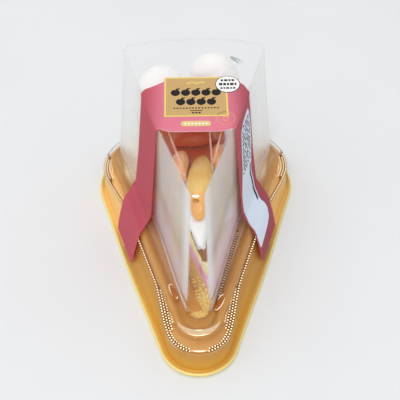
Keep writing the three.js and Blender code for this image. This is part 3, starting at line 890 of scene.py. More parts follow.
def second_shown(x, y):
    return net_shown(x, y) or y < -50 and abs(x) > 4.6


def inner_shown(x, y):
    return -53 < y < -37 and abs(x) > 8 or 39 < y < 48 and abs(x) > 30


def ring_strip(name, contour, section, scale, material):
    """Closed strip round a contour. The section lists (distance out, height) corners, and
    scale(x, y) shrinks the distances about the first corner."""
    points, normals = along_contour(contour)
    sizes = np.array([scale(*point) for point in points])
    first = section[0]
    rows = []
    for out, z in section:
        plan = points + normals * (first[0] + (out - first[0]) * sizes)[:, None]
        rows.append(np.column_stack([plan, first[1] + (z - first[1]) * np.minimum(sizes, 1)]))
    count = len(points)
    faces = []
    for row in range(len(rows)):
        after = (row + 1) % len(rows) * count
        for i in range(count):
            j = (i + 1) % count
            faces.append((row * count + i, row * count + j, after + j, after + i))
    return add_mesh(name, np.concatenate(rows), faces, [material], "lid", 40)


def edge_shade(x, y):
    """Wide below the net, narrow below a single row, and a hairline across the nose."""
    aside = abs(x)
    row = smoothstep(aside, 4, 5) * (1 - smoothstep(y, 52, 55))
    shoulder = window(y, -58, -54, -35, -30) * smoothstep(aside, 7, 9)
    corner = window(y, 32, 36, 50, 53) * smoothstep(aside, 29, 31)
    nose = 0.5 * smoothstep(aside, 4, 6) * (1 - smoothstep(y, -60, -54))
    return 0.2 + 0.8 * row + max(1.4 * shoulder, 1.2 * corner, nose)


def right_foot(x, y):
    return 0.05 + 0.95 * smoothstep(x, 6, 9) * (1 - smoothstep(y, -4, 4))


def left_foot(x, y):
    return 0.05 + 0.9 * smoothstep(-x, 4, 8) * (1 - smoothstep(y, -14, -2))


def make_edge_beads():
    flange = FLANGE_Z + LID_GAP + LID_SHEET
    high = FLANGE_Z + LID_GAP + LID_SHEET - 0.12
    edge = grow(FLANGE, LID_GAP + LID_SHEET)
    beads = bead_row(edge, FIRST_ROW, high, EDGE_BEAD, edge_shown)
    for row, shown in ((1, second_shown), (2, net_shown), (3, inner_shown)):
        out = FIRST_ROW - NET_STEP * row
        beads += bead_row(edge, out, high, NET_BEAD, shown, row % 2, NET_UNEVEN)
    points, faces = merge(beads)
    add_mesh("lid_edge_beads", points, faces, [PAINTED_GLOW], "lid")
    section = [(-0.15, flange), (-1.6, flange), (-1.6, flange + 0.04), (-0.15, flange + 0.04)]
    ring_strip("lid_edge_shade", edge, section, edge_shade, BEAD_SHADE)


def make_foot_relief():
    dome_foot = grow(FOOT, 0.9)
    channel = VALLEY_Z + LID_GAP + LID_SHEET
    points, faces = merge(bead_row(dome_foot, 0.2, channel - 0.1, RIB_SIZE, ribs_shown))
    add_mesh("lid_foot_ribs", points, faces, [RIB_HIGHLIGHT], "lid")
    section = [(-0.6, channel), (-0.6, channel + 0.06), (1.0, channel + 0.06), (1.0, channel)]
    ring_strip("lid_foot_shade", dome_foot, section, right_foot, FOOT_SHADE)
    ledge = grow(mix(FOOT, TOP, 0.07), 0.6)
    section = [(-0.1, 16.8), (0.06, 16.4), (0.22, 16.8), (0.06, 17.2)]
    ring_strip("lid_foot_highlight_line", ledge, section, left_foot, FOOT_LINE_HIGHLIGHT)


# Small leaf moulded in relief on the dome's top: ends of its rib, and width
LEAF_ENDS = ((15.9, 49.4), (22.0, 43.7))
LEAF_WIDE = 3.4


def make_leaf_mark():
    (x1, y1), (x2, y2) = LEAF_ENDS
    turn = math.atan2(y2 - y1, x2 - x1)
    long = math.hypot(x2 - x1, y2 - y1)
    marks = [leaf_between(*LEAF_ENDS, 0.4)]
    for side in (-1, 1):
        x = (x1 + x2) / 2 + side * 0.8 * math.sin(-turn)
        y = (y1 + y2) / 2 + side * 0.8 * math.cos(turn)
        marks.append(leaf_outline(x, y, long * 0.8, LEAF_WIDE * 0.28, turn + side * 0.12))
    plates("lid_leaf_mark", marks, 1, LEAF_GREY, MARK_Z, "lid")


# Two snap bosses stand on the lid's channel near the nose: centre, and turn of the long axis
BOSSES = {"left": ((-10.9, -36.3), 112), "right": ((9.6, -42.0), 66)}
BOSS_HALF = (5.2, 1.5)
BOSS_HEIGHT = 1.5
BOSS_STEPS = 40

# Painted highlights in bright curves on the bosses: start angle, length in degrees, and share of
# the boss's outline
BOSS_GLINTS = {
    "left": ((-40, 150, 0.92), (150, 75, 0.7)),
    "right": ((150, 165, 0.95), (-20, 110, 0.8)),
}


def turned(centre, turn, along, across):
    """Points at distances along and across a line through the centre, turned by degrees."""
    cos, sin = math.cos(math.radians(turn)), math.sin(math.radians(turn))
    return np.column_stack([centre[0] + along * cos - across * sin,
                            centre[1] + along * sin + across * cos])


def boss_glint(centre, turn, start, length, out):
    """Outline of a painted highlight: a thin curve along a boss's edge, pointed at both ends."""
    angles = np.radians(np.linspace(start, start + length, 25))
    half = 0.17 * np.cos(np.linspace(-1, 1, 25) * math.pi / 2 * 0.97)
    long, wide = BOSS_HALF
    edges = [turned(centre, turn, (long * out + sign * half) * np.cos(angles),
                    (wide * out + sign * half) * np.sin(angles)) for sign in (1, -1)]
    return np.concatenate([edges[0], edges[1][::-1]])


def make_boss(side, centre, turn):
    base = VALLEY_Z + LID_GAP + LID_SHEET - 0.15
    angles = np.linspace(0, 2 * math.pi, BOSS_STEPS, endpoint=False)
    rings = []
    for t in np.linspace(0, 1, 9) * 1.45:
        along = BOSS_HALF[0] * np.cos(angles) * math.cos(t)
        across = BOSS_HALF[1] * np.sin(angles) * math.cos(t)
        plan = turned(centre, turn, along, across)
        rings.append(np.column_stack([plan, np.full(BOSS_STEPS, base + BOSS_HEIGHT * math.sin(t))]))
    points, faces = skin(rings)
    add_mesh(f"lid_boss_{side}", points, faces, [BOSS_AMBER], "lid")
    glints = [boss_glint(centre, turn, *glint) for glint in BOSS_GLINTS[side]]
    plates(f"lid_boss_glints_{side}", glints, 1, GLINT, base + BOSS_HEIGHT, "lid")


# Painted highlights in bright arcs on the nose of the lid, and a painted reflection in the pale
# sheen between them: centre in y, radius, half width, half turn in degrees, and height
NOSE_HIGHLIGHTS = {
    "ridge": (-49.0, 11.7, 0.22, 26, 15.04),
    "slope": (-49.0, 8.9, 0.2, 12, 15.04),
    "edge": (-53.1, 13.7, 0.34, 15, 12.02),
}
NOSE_SHEEN = (-49.0, 10.3, 1.6, 66, 15.0)


def add_arc(name, centre, radius, half, turn, z, material):
    """Thin plate along an arc about the nose's centre, pointed at both ends."""
    angles = np.radians(np.linspace(-90 - turn, -90 + turn, 41))
    size = half * np.cos(np.linspace(-1, 1, 41) * math.pi / 2 * 0.98)
    plan = np.stack([np.cos(angles), np.sin(angles)], 1)
    inner = plan * (radius - size)[:, None] + [0, centre]
    outer = plan * (radius + size)[:, None] + [0, centre]
    plates(name, [np.concatenate([outer, inner[::-1]])], 1, material, z, "lid")


def make_nose_highlights():
    add_arc("lid_nose_sheen", *NOSE_SHEEN, PALE_SHEEN)
    for name, values in NOSE_HIGHLIGHTS.items():
        add_arc(f"lid_nose_{name}", *values, PAINTED_GLOW)


# Painted reflections in pale streaks on the dome's top, from front to rear: x and y of both
# ends, and width
TOP_REFLECTIONS = (
    ((-4.2, -28.2), (-12.4, 2.4), 1.1),
    ((-3.8, -32.1), (-9.0, -10.9), 0.9),
    ((6.5, -23.9), (5.6, 4.5), 0.9),
    ((6.6, -19.9), (11.5, 3.1), 0.8),
)


def make_top_reflections():
    outlines = [leaf_between(*streak) for streak in TOP_REFLECTIONS]
    plates("lid_top_reflections", outlines, 1, TOP_REFLECTION, MARK_Z, "lid")


# Small dimples pressed into the lid, brown with painted shade: centre, and long and wide
DIMPLES = (((-13.6, -32.5, 12.6), (2.4, 1.6)), ((36.6, 40.1, 12.1), (1.8, 1.5)))


def make_dimples():
    along = np.array([0.3, 0.95])
    points, faces = merge([bead(centre, along, *size, 0.35) for centre, size in DIMPLES])
    add_mesh("lid_dimples", points, faces, [DIMPLE_SHADE], "lid")


# Paper band
WALL_FOOT_Z = 12
WALL_TOP_Z = 77
BAND_CLEAR = 0.6
PANEL_TAPER = 0.66
PANEL_FRONT = -0.5
PINK_BACK = 26.6
PINK_RISE = 5
LABEL = dict(left=-13.7, right=14.2, front=8.6, back=34.2)
BADGE = dict(x=14.5, y=29.1, rx=5.6, ry=5.6)
PANEL_END = 22.8
SHOULDER = dict(x=16, y=24.2, rx=7, ry=7.2)


def wall_distance(z):
    share = (z - WALL_FOOT_Z) / (WALL_TOP_Z - WALL_FOOT_Z)
    return FOOT["side"] + (TOP["side"] + TOP["bow"] - FOOT["side"]) * share + BAND_CLEAR


# Stops down a leg: distance out along the side's normal, height, front end and rear end
LEG_STOPS = np.array([
    (wall_distance(76.4), 76.4, 8.4, 29.8),
    (wall_distance(70), 70, 9.2, 30.1),
    (wall_distance(45), 45, 8.8, 30.7),
    (wall_distance(22), 22, 9, 33.2),
    (wall_distance(17) + 0.7, 17.6, 9.8, 35.2),
    (wall_distance(12) + 2.2, 16, 8.8, 34),
    (RIDGE["side"] + 0.2, 15.8, 5.2, 30.4),
    (RIDGE["side"] + 1.8, 14, 3.9, 28.6),
    (RIM["side"] - 4.2, 7.6, 1.4, 25.6),
    (RIM["side"] - 2.3, 2.9, -0.4, 22.8),
])
LEG_LENGTHS = np.linalg.norm(np.diff(LEG_STOPS[:, :2], axis=0), axis=1)
LEG_RUN = np.concatenate([[0], np.cumsum(LEG_LENGTHS)])


def smooth_leg(run):
    """Values of LEG_STOPS at a run down the leg, with the folds eased over a few millimetres."""
    window = np.linspace(-1.6, 1.6, 9)
    weights = np.cos(window / 1.6 * math.pi / 2) + 0.05
    ends = (LEG_RUN[0], LEG_RUN[-1])
    reach = min(1.0, (run - ends[0]) / 1.6, (ends[1] - run) / 1.6)
    at = run + window * max(reach, 0)
    values = [np.interp(at, LEG_RUN, LEG_STOPS[:, k]) for k in range(4)]
    return np.array([np.dot(weights, v) / weights.sum() for v in values])


def leg_point(run, along, lift, side):
    """Point on a leg's outer face: run down it, along the side, and lift off the paper."""
    out, z = smooth_leg(run)[:2]
    before = smooth_leg(max(run - 0.5, 0))
    after = smooth_leg(min(run + 0.5, LEG_RUN[-1]))
    slope = after[:2] - before[:2]
    normal = np.array([-slope[1], slope[0]]) / np.linalg.norm(slope)
    plan = side_point(out + normal[0] * lift, along)
    return np.array([side * plan[0], plan[1], z + normal[1] * lift])


def upper_edge(shape, x):
    """Height in y of an oval's upper edge at x, and 0 beside the oval."""
    across = (x - shape["x"]) / shape["rx"]
    return shape["y"] + shape["ry"] * math.sqrt(1 - across * across) if abs(across) < 1 else 0


def panel_back(x):
    label = LABEL["back"] if LABEL["left"] <= x <= LABEL["right"] else 0
    share = max(PANEL_END - abs(x), 0) / (PANEL_END + LABEL["left"])
    corner = max(abs(x) + 1.5 - PANEL_END, 0) / 1.5
    slope = PINK_BACK + PINK_RISE * min(share, 1) ** 1.25 - 0.8 * corner * corner
    return max(slope, upper_edge(SHOULDER, x), upper_edge(BADGE, x), label)


def panel_pair(x):
    corner = max(abs(x) - 14, 0) / 9
    front = PANEL_FRONT + 1.7 * corner * corner
    return np.array([x * PANEL_TAPER, front, PANEL_Z, x, panel_back(x), PANEL_Z])


def leg_pairs(side):
    pairs = []
    for run in np.arange(0, LEG_RUN[-1] + 0.01, LEG_RUN[-1] / 110):
        front, rear = smooth_leg(run)[2:]
        ends = [leg_point(run, place, 0, side) for place in (front, rear)]
        pairs.append(np.concatenate(ends))
    return pairs


def fold_pair(side):
    out = TOP["side"] + TOP["bow"] + 0.5
    z = PANEL_Z - 0.7
    front = side_point(out, 6.2)
    rear = side_point(out, 30.8)
    return np.array([side * front[0], front[1], z, side * rear[0], rear[1], z])


def panel_stations():
    bend = np.linspace(-0.3, 1, 20)
    badge = BADGE["x"] + BADGE["rx"] * np.sin(bend * math.pi / 2)
    return np.concatenate([
        np.linspace(-PANEL_END, LABEL["left"] - 0.05, 28),
        np.linspace(LABEL["left"], badge[0] - 0.05, 18),
        badge,
        np.linspace(badge[-1] + 0.15, PANEL_END, 12),
    ])


def make_band():
    corners = [fold_pair(-1), *[panel_pair(x) for x in panel_stations()], fold_pair(1)]
    pairs = np.array(leg_pairs(-1)[::-1] + corners + leg_pairs(1))
    middles = (pairs[:, :3] + pairs[:, 3:]) / 2
    run = np.gradient(middles, axis=0)
    normals = np.stack([-run[:, 2], 0 * run[:, 1], run[:, 0]], 1)
    normals /= np.linalg.norm(normals, axis=1, keepdims=True)
    across = np.linspace(0, 1, 9)
    rings = []
    for pair, normal in zip(pairs, normals):
        under = [pair[:3] + (pair[3:] - pair[:3]) * t for t in across]
        over = [p + normal * PAPER for p in under[::-1]]
        rings.append(np.array(under + over))
    points, faces = skin(rings)
    count = len(rings[0])
    indices = []
    for face in faces:
        edge = len(face) != 4 or face[0] % count in (8, count - 1)
        on_top = points[face[0]][2] > PANEL_Z - 0.1
        indices.append((2 if on_top else 1) if edge else 0)
    return add_mesh("band_card", points, faces, [PINK, CARD_EDGE, CORE], "paper_band", 40,
                    indices)


# Print on the band
LABEL_MID = (LABEL["left"] + LABEL["right"]) / 2
LABEL_BORDER = 0.75

# Rows of small fruit on the label: height of the row and number of fruit
FRUIT_ROWS = ((23.9, 5), (17.9, 4))
FRUIT_PITCH = 4.5
FRUIT_SIZE = 2.05

# Leaves of the ornament over the fruit: place from the label's middle, lift and turn
FLOURISH = ((-3, 0, 0.5), (-1, 0.3, -0.4), (1, 0, 0.5), (3, 0.3, -0.4))


def make_label():
    wide = LABEL["right"] - LABEL["left"] - 0.1
    high = LABEL["back"] - LABEL["front"] - 0.1
    middle = (LABEL["front"] + LABEL["back"]) / 2
    plates("label_border", [box(LABEL_MID, middle, wide, high)], 1, LABEL_EDGE)
    inner = box(LABEL_MID, middle, wide - 2 * LABEL_BORDER, high - 2 * LABEL_BORDER)
    plates("label_field", [inner], 2, LABEL_GOLD)
    marks = []
    for y, count in FRUIT_ROWS:
        for k in range(count):
            x = LABEL_MID + FRUIT_PITCH * (k - (count - 1) / 2)
            marks.append(peach_outline(x, y, FRUIT_SIZE))
            marks.append(leaf_outline(x + 1.1, y + FRUIT_SIZE + 0.35, 2.1, 0.9, 0.35))
    marks += [oval(LABEL_MID + 1.35 * k, 13.9, 0.42, 0.42, 12) for k in range(-7, 8)]
    plates("label_fruit", marks, 3, INK_BLACK)
    rule = [box(LABEL_MID, 12.3, 5.4, 0.4)]
    rule += [oval(LABEL_MID + k, 10.9, 0.6, 0.45, 12) for k in (-1.4, 0, 1.4)]
    plates("label_rules", rule, 3, INK_BLACK)
    leaves = [leaf_outline(LABEL_MID + x, 30.3 + lift, 2.6, 0.7, turn) for x, lift, turn in FLOURISH]
    plates("label_flourish", leaves, 3, LABEL_EDGE)


# Rows of bars on the badge: height of the row over its middle, lengths of the bars, thickness
BADGE_ROWS = (
    (2.6, (1.0, 1.5, 0.9, 1.2), 1.2),
    (0, (1.5, 1.2, 0.9, 1.6, 0.8), 1.5),
    (-2.6, (0.9, 0.7, 1.4, 0.8, 1.0), 1.0),
)
BADGE_SPACE = 0.45


def make_badge():
    x, y, rx, ry = BADGE.values()
    plates("badge_edge", [oval(x, y, rx - 0.1, ry - 0.1, 48)], 4, INK_GREY)
    plates("badge_field", [oval(x, y, rx - 0.4, ry - 0.4, 48)], 5, BADGE_WHITE)
    rows = []
    for lift, widths, high in BADGE_ROWS:
        at = x - (sum(widths) + BADGE_SPACE * (len(widths) - 1)) / 2
        for wide in widths:
            rows.append(box(at + wide / 2, y + lift, wide, high))
            at += wide + BADGE_SPACE
    plates("badge_bars", rows, 6, INK_BLACK)


# Ring of dashes round a small fruit: centre, radius and number of dashes
STAMP = (12.9, 7.4)
STAMP_RADIUS = 3.9
STAMP_DASHES = 20


def make_stamp():
    x, y = STAMP
    dashes = []
    for turn in np.arange(STAMP_DASHES) / STAMP_DASHES * 2 * math.pi:
        place = (x + STAMP_RADIUS * math.cos(turn), y + STAMP_RADIUS * math.sin(turn))
        dashes.append(leaf_outline(*place, 0.85, 0.42, turn + math.pi / 2))
    fruit = []
    for t in np.arange(0.5, 6.5, 1.2):
        place = (x + 1.1 * math.cos(t), y - 0.3 + 1.3 * math.sin(t))
        fruit.append(leaf_outline(*place, 1.5, 0.42, t + math.pi / 2))
    leaf = leaf_outline(x + 1.2, y + 2.0, 1.9, 0.8, 0.4)
    plates("stamp_marks", [*dashes, *fruit, leaf], 2, STAMP_LINE)


# Strip with round ends and dots
PILL = dict(x=0.0, y=4.2, half=6.5, radius=1.65)


def make_pill():
    x, y, half, radius = PILL.values()
    ends = [arc((x + side * (half - radius), y), radius, start, start + math.pi, 12)
            for side, start in ((1, -math.pi / 2), (-1, math.pi / 2))]
    plates("pill_field", [np.concatenate(ends)], 1, PILL_CREAM)
    dots = [oval(x + 1.5 * k, y, 0.5, 0.5, 12) for k in range(-3, 4)]
    plates("pill_dots", dots, 2, BADGE_WHITE)


def strips(name, spans, lift, material):
    """Printed strips on the right leg. Each span lists (run, from, to) stations down the leg."""
    points = []
    faces = []
    for span in spans:
        start = len(points)
        for run, front, rear in span:
            for height in (0.004, lift):
                points.append(leg_point(run, front, PAPER + height, 1))
                points.append(leg_point(run, rear, PAPER + height, 1))
        for k in range(len(span) - 1):
            a = start + 4 * k
            b = a + 4
            faces += [(a + 2, a + 3, b + 3, b + 2), (b, b + 1, a + 1, a), (a, a + 2, b + 2, b),
                      (b + 1, b + 3, a + 3, a + 1)]
        last = start + 4 * (len(span) - 1)
        faces += [(start, start + 1, start + 3, start + 2), (last + 2, last + 3, last + 1, last)]
    return add_mesh(name, points, faces, [material], "paper_band", 40)


# Outline of the pale field on the right leg, as (run down the leg, place along the side)
INFO_FRONT = [(3.4, 26.1), (4.6, 18.8), (8.4, 15.2), (19, 14), (28, 13.6), (35.2, 11.8), (43, 10.1),
              (50.9, 10.4), (59.5, 11.4), (64.4, 6.9), (69, 4.1), (73.8, 2.7), (74.4, 3.5)]
INFO_REAR = [(3.4, 26.3), (6.4, 28), (14.2, 28.9), (24.7, 29), (34, 27.2), (41.2, 26.1),
             (52.2, 29.2), (59.6, 29.6), (64, 25.3), (68.2, 23.7), (71.7, 21.6), (73.1, 17),
             (73.8, 11.1), (74.4, 4)]

# Rows of bars on the pale field: first and last run, distance between rows, seed of their lengths
INFO_ROWS = dict(start=7.0, end=33.0, pitch=2.3, seed=7)


def info_edges(run):
    front = np.interp(run, *zip(*INFO_FRONT))
    rear = np.interp(run, *zip(*INFO_REAR))
    return front, rear


def make_info():
    runs = np.linspace(INFO_FRONT[0][0], INFO_FRONT[-1][0], 90)
    strips("info_field", [[(run, *info_edges(run)) for run in runs]], 0.03, INFO_WHITE)
    start, end, pitch, seed = INFO_ROWS.values()
    draw = random.Random(seed)
    bars = []
    for run in np.arange(start, end, pitch):
        front, rear = info_edges(run)
        at = front + 1.4
        while at < rear - 1.6:
            long = min(draw.uniform(1.0, 4.2), rear - 1.2 - at)
            bars.append([(run, at, at + long), (run + 1.2, at, at + long)])
            at += long + draw.uniform(0.7, 1.5)
    strips("info_bars", bars, 0.06, INK_DARK)
    rule = []
    for run in np.linspace(36, 62, 27):
        rear = info_edges(run)[1]
        rule.append((run, rear - 2.6, rear - 1.1))
    strips("info_rule", [rule], 0.06, INK_DARK)


# Slice
SLICE_TIP = (0.8, -37.8)
SLICE_TURN = math.radians(3)
SLICE_LEAN = (5.6, -4.6)
LEAN_AT_FOOT = 0.57
LEAN_FULL_Z = 14
SLICE_RADIUS = 93
SLICE_HALF_ANGLE = math.radians(16)
SLICE_BASE = 1.3
LOW_SPONGE_TOP = 18
FILLING_TOP = 25.6
HIGH_SPONGE_TOP = 44
CREAM_TOP = 50
LAYER_GAP = 0.35
BACK_CREAM = 3.5
TIP_RADIUS = 1.4
SIDE_POINTS = 96
TIP_POINTS = 5
BACK_STEPS = 2 * SIDE_POINTS + TIP_POINTS - 1
TIP_INDEX = BACK_STEPS + 1 + SIDE_POINTS + TIP_POINTS // 2


def slice_arc(inset, back_inset):
    radius = SLICE_RADIUS - back_inset
    turn = math.pi / 2 - SLICE_HALF_ANGLE + inset / radius
    return arc((0, 0), radius, turn, math.pi - turn, BACK_STEPS)


def slice_path(inset, back_inset):
    back = slice_arc(inset, back_inset)
    centre = (0, (TIP_RADIUS + inset) / math.sin(SLICE_HALF_ANGLE))
    tip = arc(centre, TIP_RADIUS, math.pi * 1.2, math.pi * 1.8, TIP_POINTS - 1)
    share = (np.arange(SIDE_POINTS) + 1)[:, None] / (SIDE_POINTS + 1)
    left = back[-1] + (tip[0] - back[-1]) * share
    right = tip[-1] + (back[0] - tip[-1]) * share
    return np.concatenate([left, tip, right])


def place_slice(points, z):
    low = 1 - (z / CREAM_TOP) ** 2
    share = low * np.clip(1 - points[:, 1] / SLICE_RADIUS, 0, 1)
    aside = SLICE_LEAN[0] * (LEAN_AT_FOOT + (1 - LEAN_AT_FOOT) * smoothstep(z, 0, LEAN_FULL_Z))
    cos, sin = math.cos(SLICE_TURN), math.sin(SLICE_TURN)
    x = points[:, 0] * cos - points[:, 1] * sin + SLICE_TIP[0] + aside * share
    y = points[:, 0] * sin + points[:, 1] * cos + SLICE_TIP[1] + SLICE_LEAN[1] * share
    return np.column_stack([x, y, np.full(len(points), float(z))])


def slice_ring(inset, back_inset, z):
    outline = np.concatenate([slice_arc(inset, back_inset), slice_path(inset, back_inset)])
    return place_slice(outline, z)


def crumb(point):
    """Pores and torn edges of a cut sponge."""
    small = noise.voronoi(point / 1.9)[0][0]
    wide = noise.voronoi(point / 4.2 + Vector((3, 1, 7)))[0][0]
    rough = noise.fractal(point / 1.3, 0.8, 2.0, 3)
    return -0.5 * max(0.35 - small, 0) / 0.35 - 0.5 * max(0.26 - wide, 0) / 0.26 + 0.16 * rough


def creamy(point):
    return 0.3 * noise.noise(point / 7) + 0.14 * noise.noise(point / 2.2)


def smear(point):
    return 0.28 * noise.noise(point / 3.5) + 0.15 * noise.noise(point / 1.1)


def make_layer(name, node, low, high, swell, relief, material):
    levels = max(int((high - low) / 0.65), 6)
    rings = []
    for level in range(levels + 1):
        share = level / levels
        edge = 0.4 * (1 - smoothstep(min(share, 1 - share), 0, 0.1))
        inset = edge - swell * math.sin(math.pi * share)
        rings.append(slice_ring(inset, BACK_CREAM + LAYER_GAP + edge, low + (high - low) * share))
    points, faces = skin(rings)
    moved = displace(points, faces, relief)
    moved[:, 2] = np.clip(moved[:, 2], low, high)
    return add_mesh(name, moved, faces, [material], node)


def drip(point):
    """How far the cream's lower edge hangs down: ragged at the tip, nearly even elsewhere."""
    near_tip = smoothstep(-point.y, 8, 30)
    ragged = noise.noise(Vector((point.x, point.y, 0)) / 1.3)
    return max(ragged + 0.25, 0) * (0.3 + 1.9 * near_tip)


def make_coat():
    low = HIGH_SPONGE_TOP + LAYER_GAP
    wall = np.concatenate([slice_arc(0.5, 0.4), slice_arc(0.5, BACK_CREAM)[::-1]])
    rings = [place_slice(wall, z) for z in np.linspace(SLICE_BASE, low, 40)]
    for t in np.linspace(0, 1, 12):
        lip = slice_ring(-0.6 * math.sin(t * math.pi / 2), -0.2 * t, low + 1.4 * t)
        lip[:, 2] -= 4 * t * (1 - t) * np.array([drip(Vector(p)) for p in lip])
        rings.append(lip)
    rings += [slice_ring(-0.6, -0.2, z) for z in np.linspace(low + 1.9, CREAM_TOP - 1.8, 5)]
    rings += [slice_ring(0.3, 0.4, CREAM_TOP - 0.5)]
    for inset in np.linspace(1, 12, 16):
        rings.append(slice_ring(min(inset, 9), inset, CREAM_TOP - 0.2))
    points, faces = skin(rings)
    moved = displace(points, faces, creamy)
    moved[:, 2] = np.maximum(moved[:, 2], SLICE_BASE)
    return add_mesh("cream_cover", moved, faces, [CREAM], "cream_coat")


# Cream domes: points round a ring, rings, and the angle below the widest ring where they stand
PUFF_STEPS = 96
PUFF_LEVELS = 44
PUFF_FOOT = 0.72


def make_puff(name, node, x, y, radius, height, turn):
    """Dropped dome of whipped cream, with a soft fold that winds up to its top."""
    base = CREAM_TOP + LAYER_GAP
    angles = -math.pi / 2 + 2 * math.pi * np.arange(PUFF_STEPS) / PUFF_STEPS
    rings = []
    for level in range(PUFF_LEVELS + 1):
        t = -PUFF_FOOT + (1.5 + PUFF_FOOT) * level / PUFF_LEVELS
        reach = max(radius * math.cos(t) * (1.02 if t < 0 else 1), 0.35)
        z = base + height * (math.sin(t) + math.sin(PUFF_FOOT))
        fold = np.cos(angles - turn - 2.6 * t)
        wave = 1 - 0.06 * np.exp(-((1 - fold) / 0.09)) - 0.008 * np.cos(2 * angles + z * 0.2) ** 2
        rings.append(np.column_stack([
            x + reach * wave * np.cos(angles),
            y + reach * wave * np.sin(angles),
            np.full(PUFF_STEPS, z),
        ]))
    points, faces = skin(rings)
    moved = displace(points, faces, creamy)
    moved[:, 2] = np.maximum(moved[:, 2], base)
    return add_mesh(name, moved, faces, [CREAM], node)


# Peach slices: place, front and rear end, width, height, bend, place of the ridge and material
PEACHES = (
    ("front", (0.6, -26.5), (3.4, 12), 11.5, 9, 0.6, 2.0, PEACH),
    ("left", (-8, -7), (-6, 14.5), 9, 8, 0.8, 1.9, PEACH_WARM),
    ("right", (10.8, 0), (10.4, 19), 7.5, 7, -0.3, 1.2, PEACH_WARM),
    ("back", (-11, 21), (10.5, 24), 11.5, 9, 0, 1.3, PEACH_RED),
)
PEACH_STEPS = 60
PEACH_SECTION = 48


def make_peach(place, start, end, width, height, bend, ridge, material):
    """Peach segment: a bent spindle, flat below, with a soft ridge where its cut faces meet."""
    z = CREAM_TOP + LAYER_GAP
    start = np.array([*start, z])
    end = np.array([*end, z])
    run = end - start
    across = np.cross([0, 0, 1], run)
    across = across / np.linalg.norm(across)
    angles = -math.pi / 2 + 2 * math.pi * np.arange(PEACH_SECTION) / PEACH_SECTION
    up = np.sin(angles)
    lift = 0.42 + up * np.where(up > 0, 0.58, 0.42)
    peak = 1 + 0.07 * np.exp(-((angles - ridge) / 0.3) ** 2)
    rings = []
    for t in np.linspace(0.02, 0.98, PEACH_STEPS + 1):
        full = math.sqrt(math.sin(math.pi * t))
        middle = start + run * t + across * bend * math.sin(math.pi * t)
        side = (full * width / 2 * np.cos(angles) * peak)[:, None] * across
        rings.append(middle + side + (full * height * lift * peak)[:, None] * [0, 0, 1])
    points, faces = skin(rings)
    moved = displace(points, faces, lambda p: 0.18 * noise.noise(p / 3))
    moved[:, 2] = np.maximum(moved[:, 2], z)
    return add_mesh(f"peach_slice_{place}", moved, faces, [material], f"peach_{place}")


# Glaze round the fruit: a thin pool on the cream, from front to rear
GLAZE_FRONT = 4
GLAZE_REAR = 38
GLAZE_STEPS = 64


def make_glaze():
    slope = math.tan(SLICE_HALF_ANGLE)
    turns = np.linspace(0, 2 * math.pi, GLAZE_STEPS, endpoint=False)
    middle = (GLAZE_FRONT + GLAZE_REAR) / 2
    half = (GLAZE_REAR - GLAZE_FRONT) / 2
    y = middle + half * np.sin(turns)
    wide = (y - SLICE_TIP[1]) * slope - 1.8
    ripple = np.array([noise.noise(Vector((math.cos(t) * 2, math.sin(t) * 2, 0))) for t in turns])
    across = np.sign(np.cos(turns)) * np.abs(np.cos(turns)) ** 0.5 * (wide + 0.9 * ripple)
    x = SLICE_TIP[0] - (y - SLICE_TIP[1]) * math.tan(SLICE_TURN) + across
    outline = np.column_stack([x, y])
    centre = outline.mean(axis=0)
    z = CREAM_TOP - 0.1
    rings = []
    for inset, lift in ((0, 0), (0, 0.2), (0.015, 0.38), (0.05, 0.5), (0.3, 0.52), (0.7, 0.5)):
        plan = outline + (centre - outline) * inset
        rings.append(np.column_stack([plan, np.full(GLAZE_STEPS, z + lift)]))
    points, faces = skin(rings)
    add_mesh("amber_glaze_in_band_glow", points, faces, [GLAZE], "cream_coat")


# Loose crumbs: a heap at the foot of the tip, and a scatter up its left side
HEAP_MIDDLE = (1.2, -41.0)
HEAP_SPREAD = (4.0, 2.2)
HEAP_COUNT = 260
CLING_COUNT = 330
CLING_HEIGHT = 7.5
CRUMB_SIZES = (0.55, 1.4)
CRUMB_SEED = 5


def crumb_blob(draw, centre, size):
    """Small uneven lump with four rings of seven points."""
    turns = np.linspace(0, 2 * math.pi, 7, endpoint=False)
    rings = []
    for t in (-1.2, -0.5, 0.3, 1.15):
        radius = size / 2 * math.cos(t) * np.array([draw.uniform(0.7, 1.25) for _ in turns])
        x = centre[0] + radius * np.cos(turns)
        y = centre[1] + radius * np.sin(turns)
        z = centre[2] + size / 2 * math.sin(t) * draw.uniform(0.7, 1.1)
        rings.append(np.column_stack([x, y, np.full(7, z)]))
    return skin(rings)


def make_crumbs():
    draw = random.Random(CRUMB_SEED)
    nose_y = (WELL["nose"] - WELL["side"]) / math.sin(HALF_ANGLE)
    lumps = []
    for _ in range(HEAP_COUNT):
        size = draw.uniform(*CRUMB_SIZES)
        x = HEAP_MIDDLE[0] + draw.gauss(0, 0.5) * HEAP_SPREAD[0]
        y = HEAP_MIDDLE[1] + draw.gauss(0, 0.5) * HEAP_SPREAD[1]
        if y > nose_y or math.hypot(x, y - nose_y) < WELL["nose"] - 1.1:
            lumps.append(crumb_blob(draw, (x, y, FLOOR_Z + size * draw.uniform(0.42, 1.4)), size))
    for _ in range(CLING_COUNT):
        size = draw.uniform(*CRUMB_SIZES) * 0.8
        z = SLICE_BASE + 0.4 + abs(draw.gauss(0, 0.7)) * CLING_HEIGHT
        edge = slice_ring(-0.5, 0, min(z, LOW_SPONGE_TOP - 1))
        place = edge[TIP_INDEX - int(abs(draw.gauss(0, 0.6)) * 11)]
        lumps.append(crumb_blob(draw, place, size))
    points, faces = merge(lumps)
    add_mesh("sponge_crumbs", points, faces, [CRUMBS], "sponge_low")


# Pulled peaks of cream over the tip: their number, and how far they reach down
PEAK_SEED = 4
PEAK_COUNT = 26
PEAK_REACH = (2.0, 4.6)


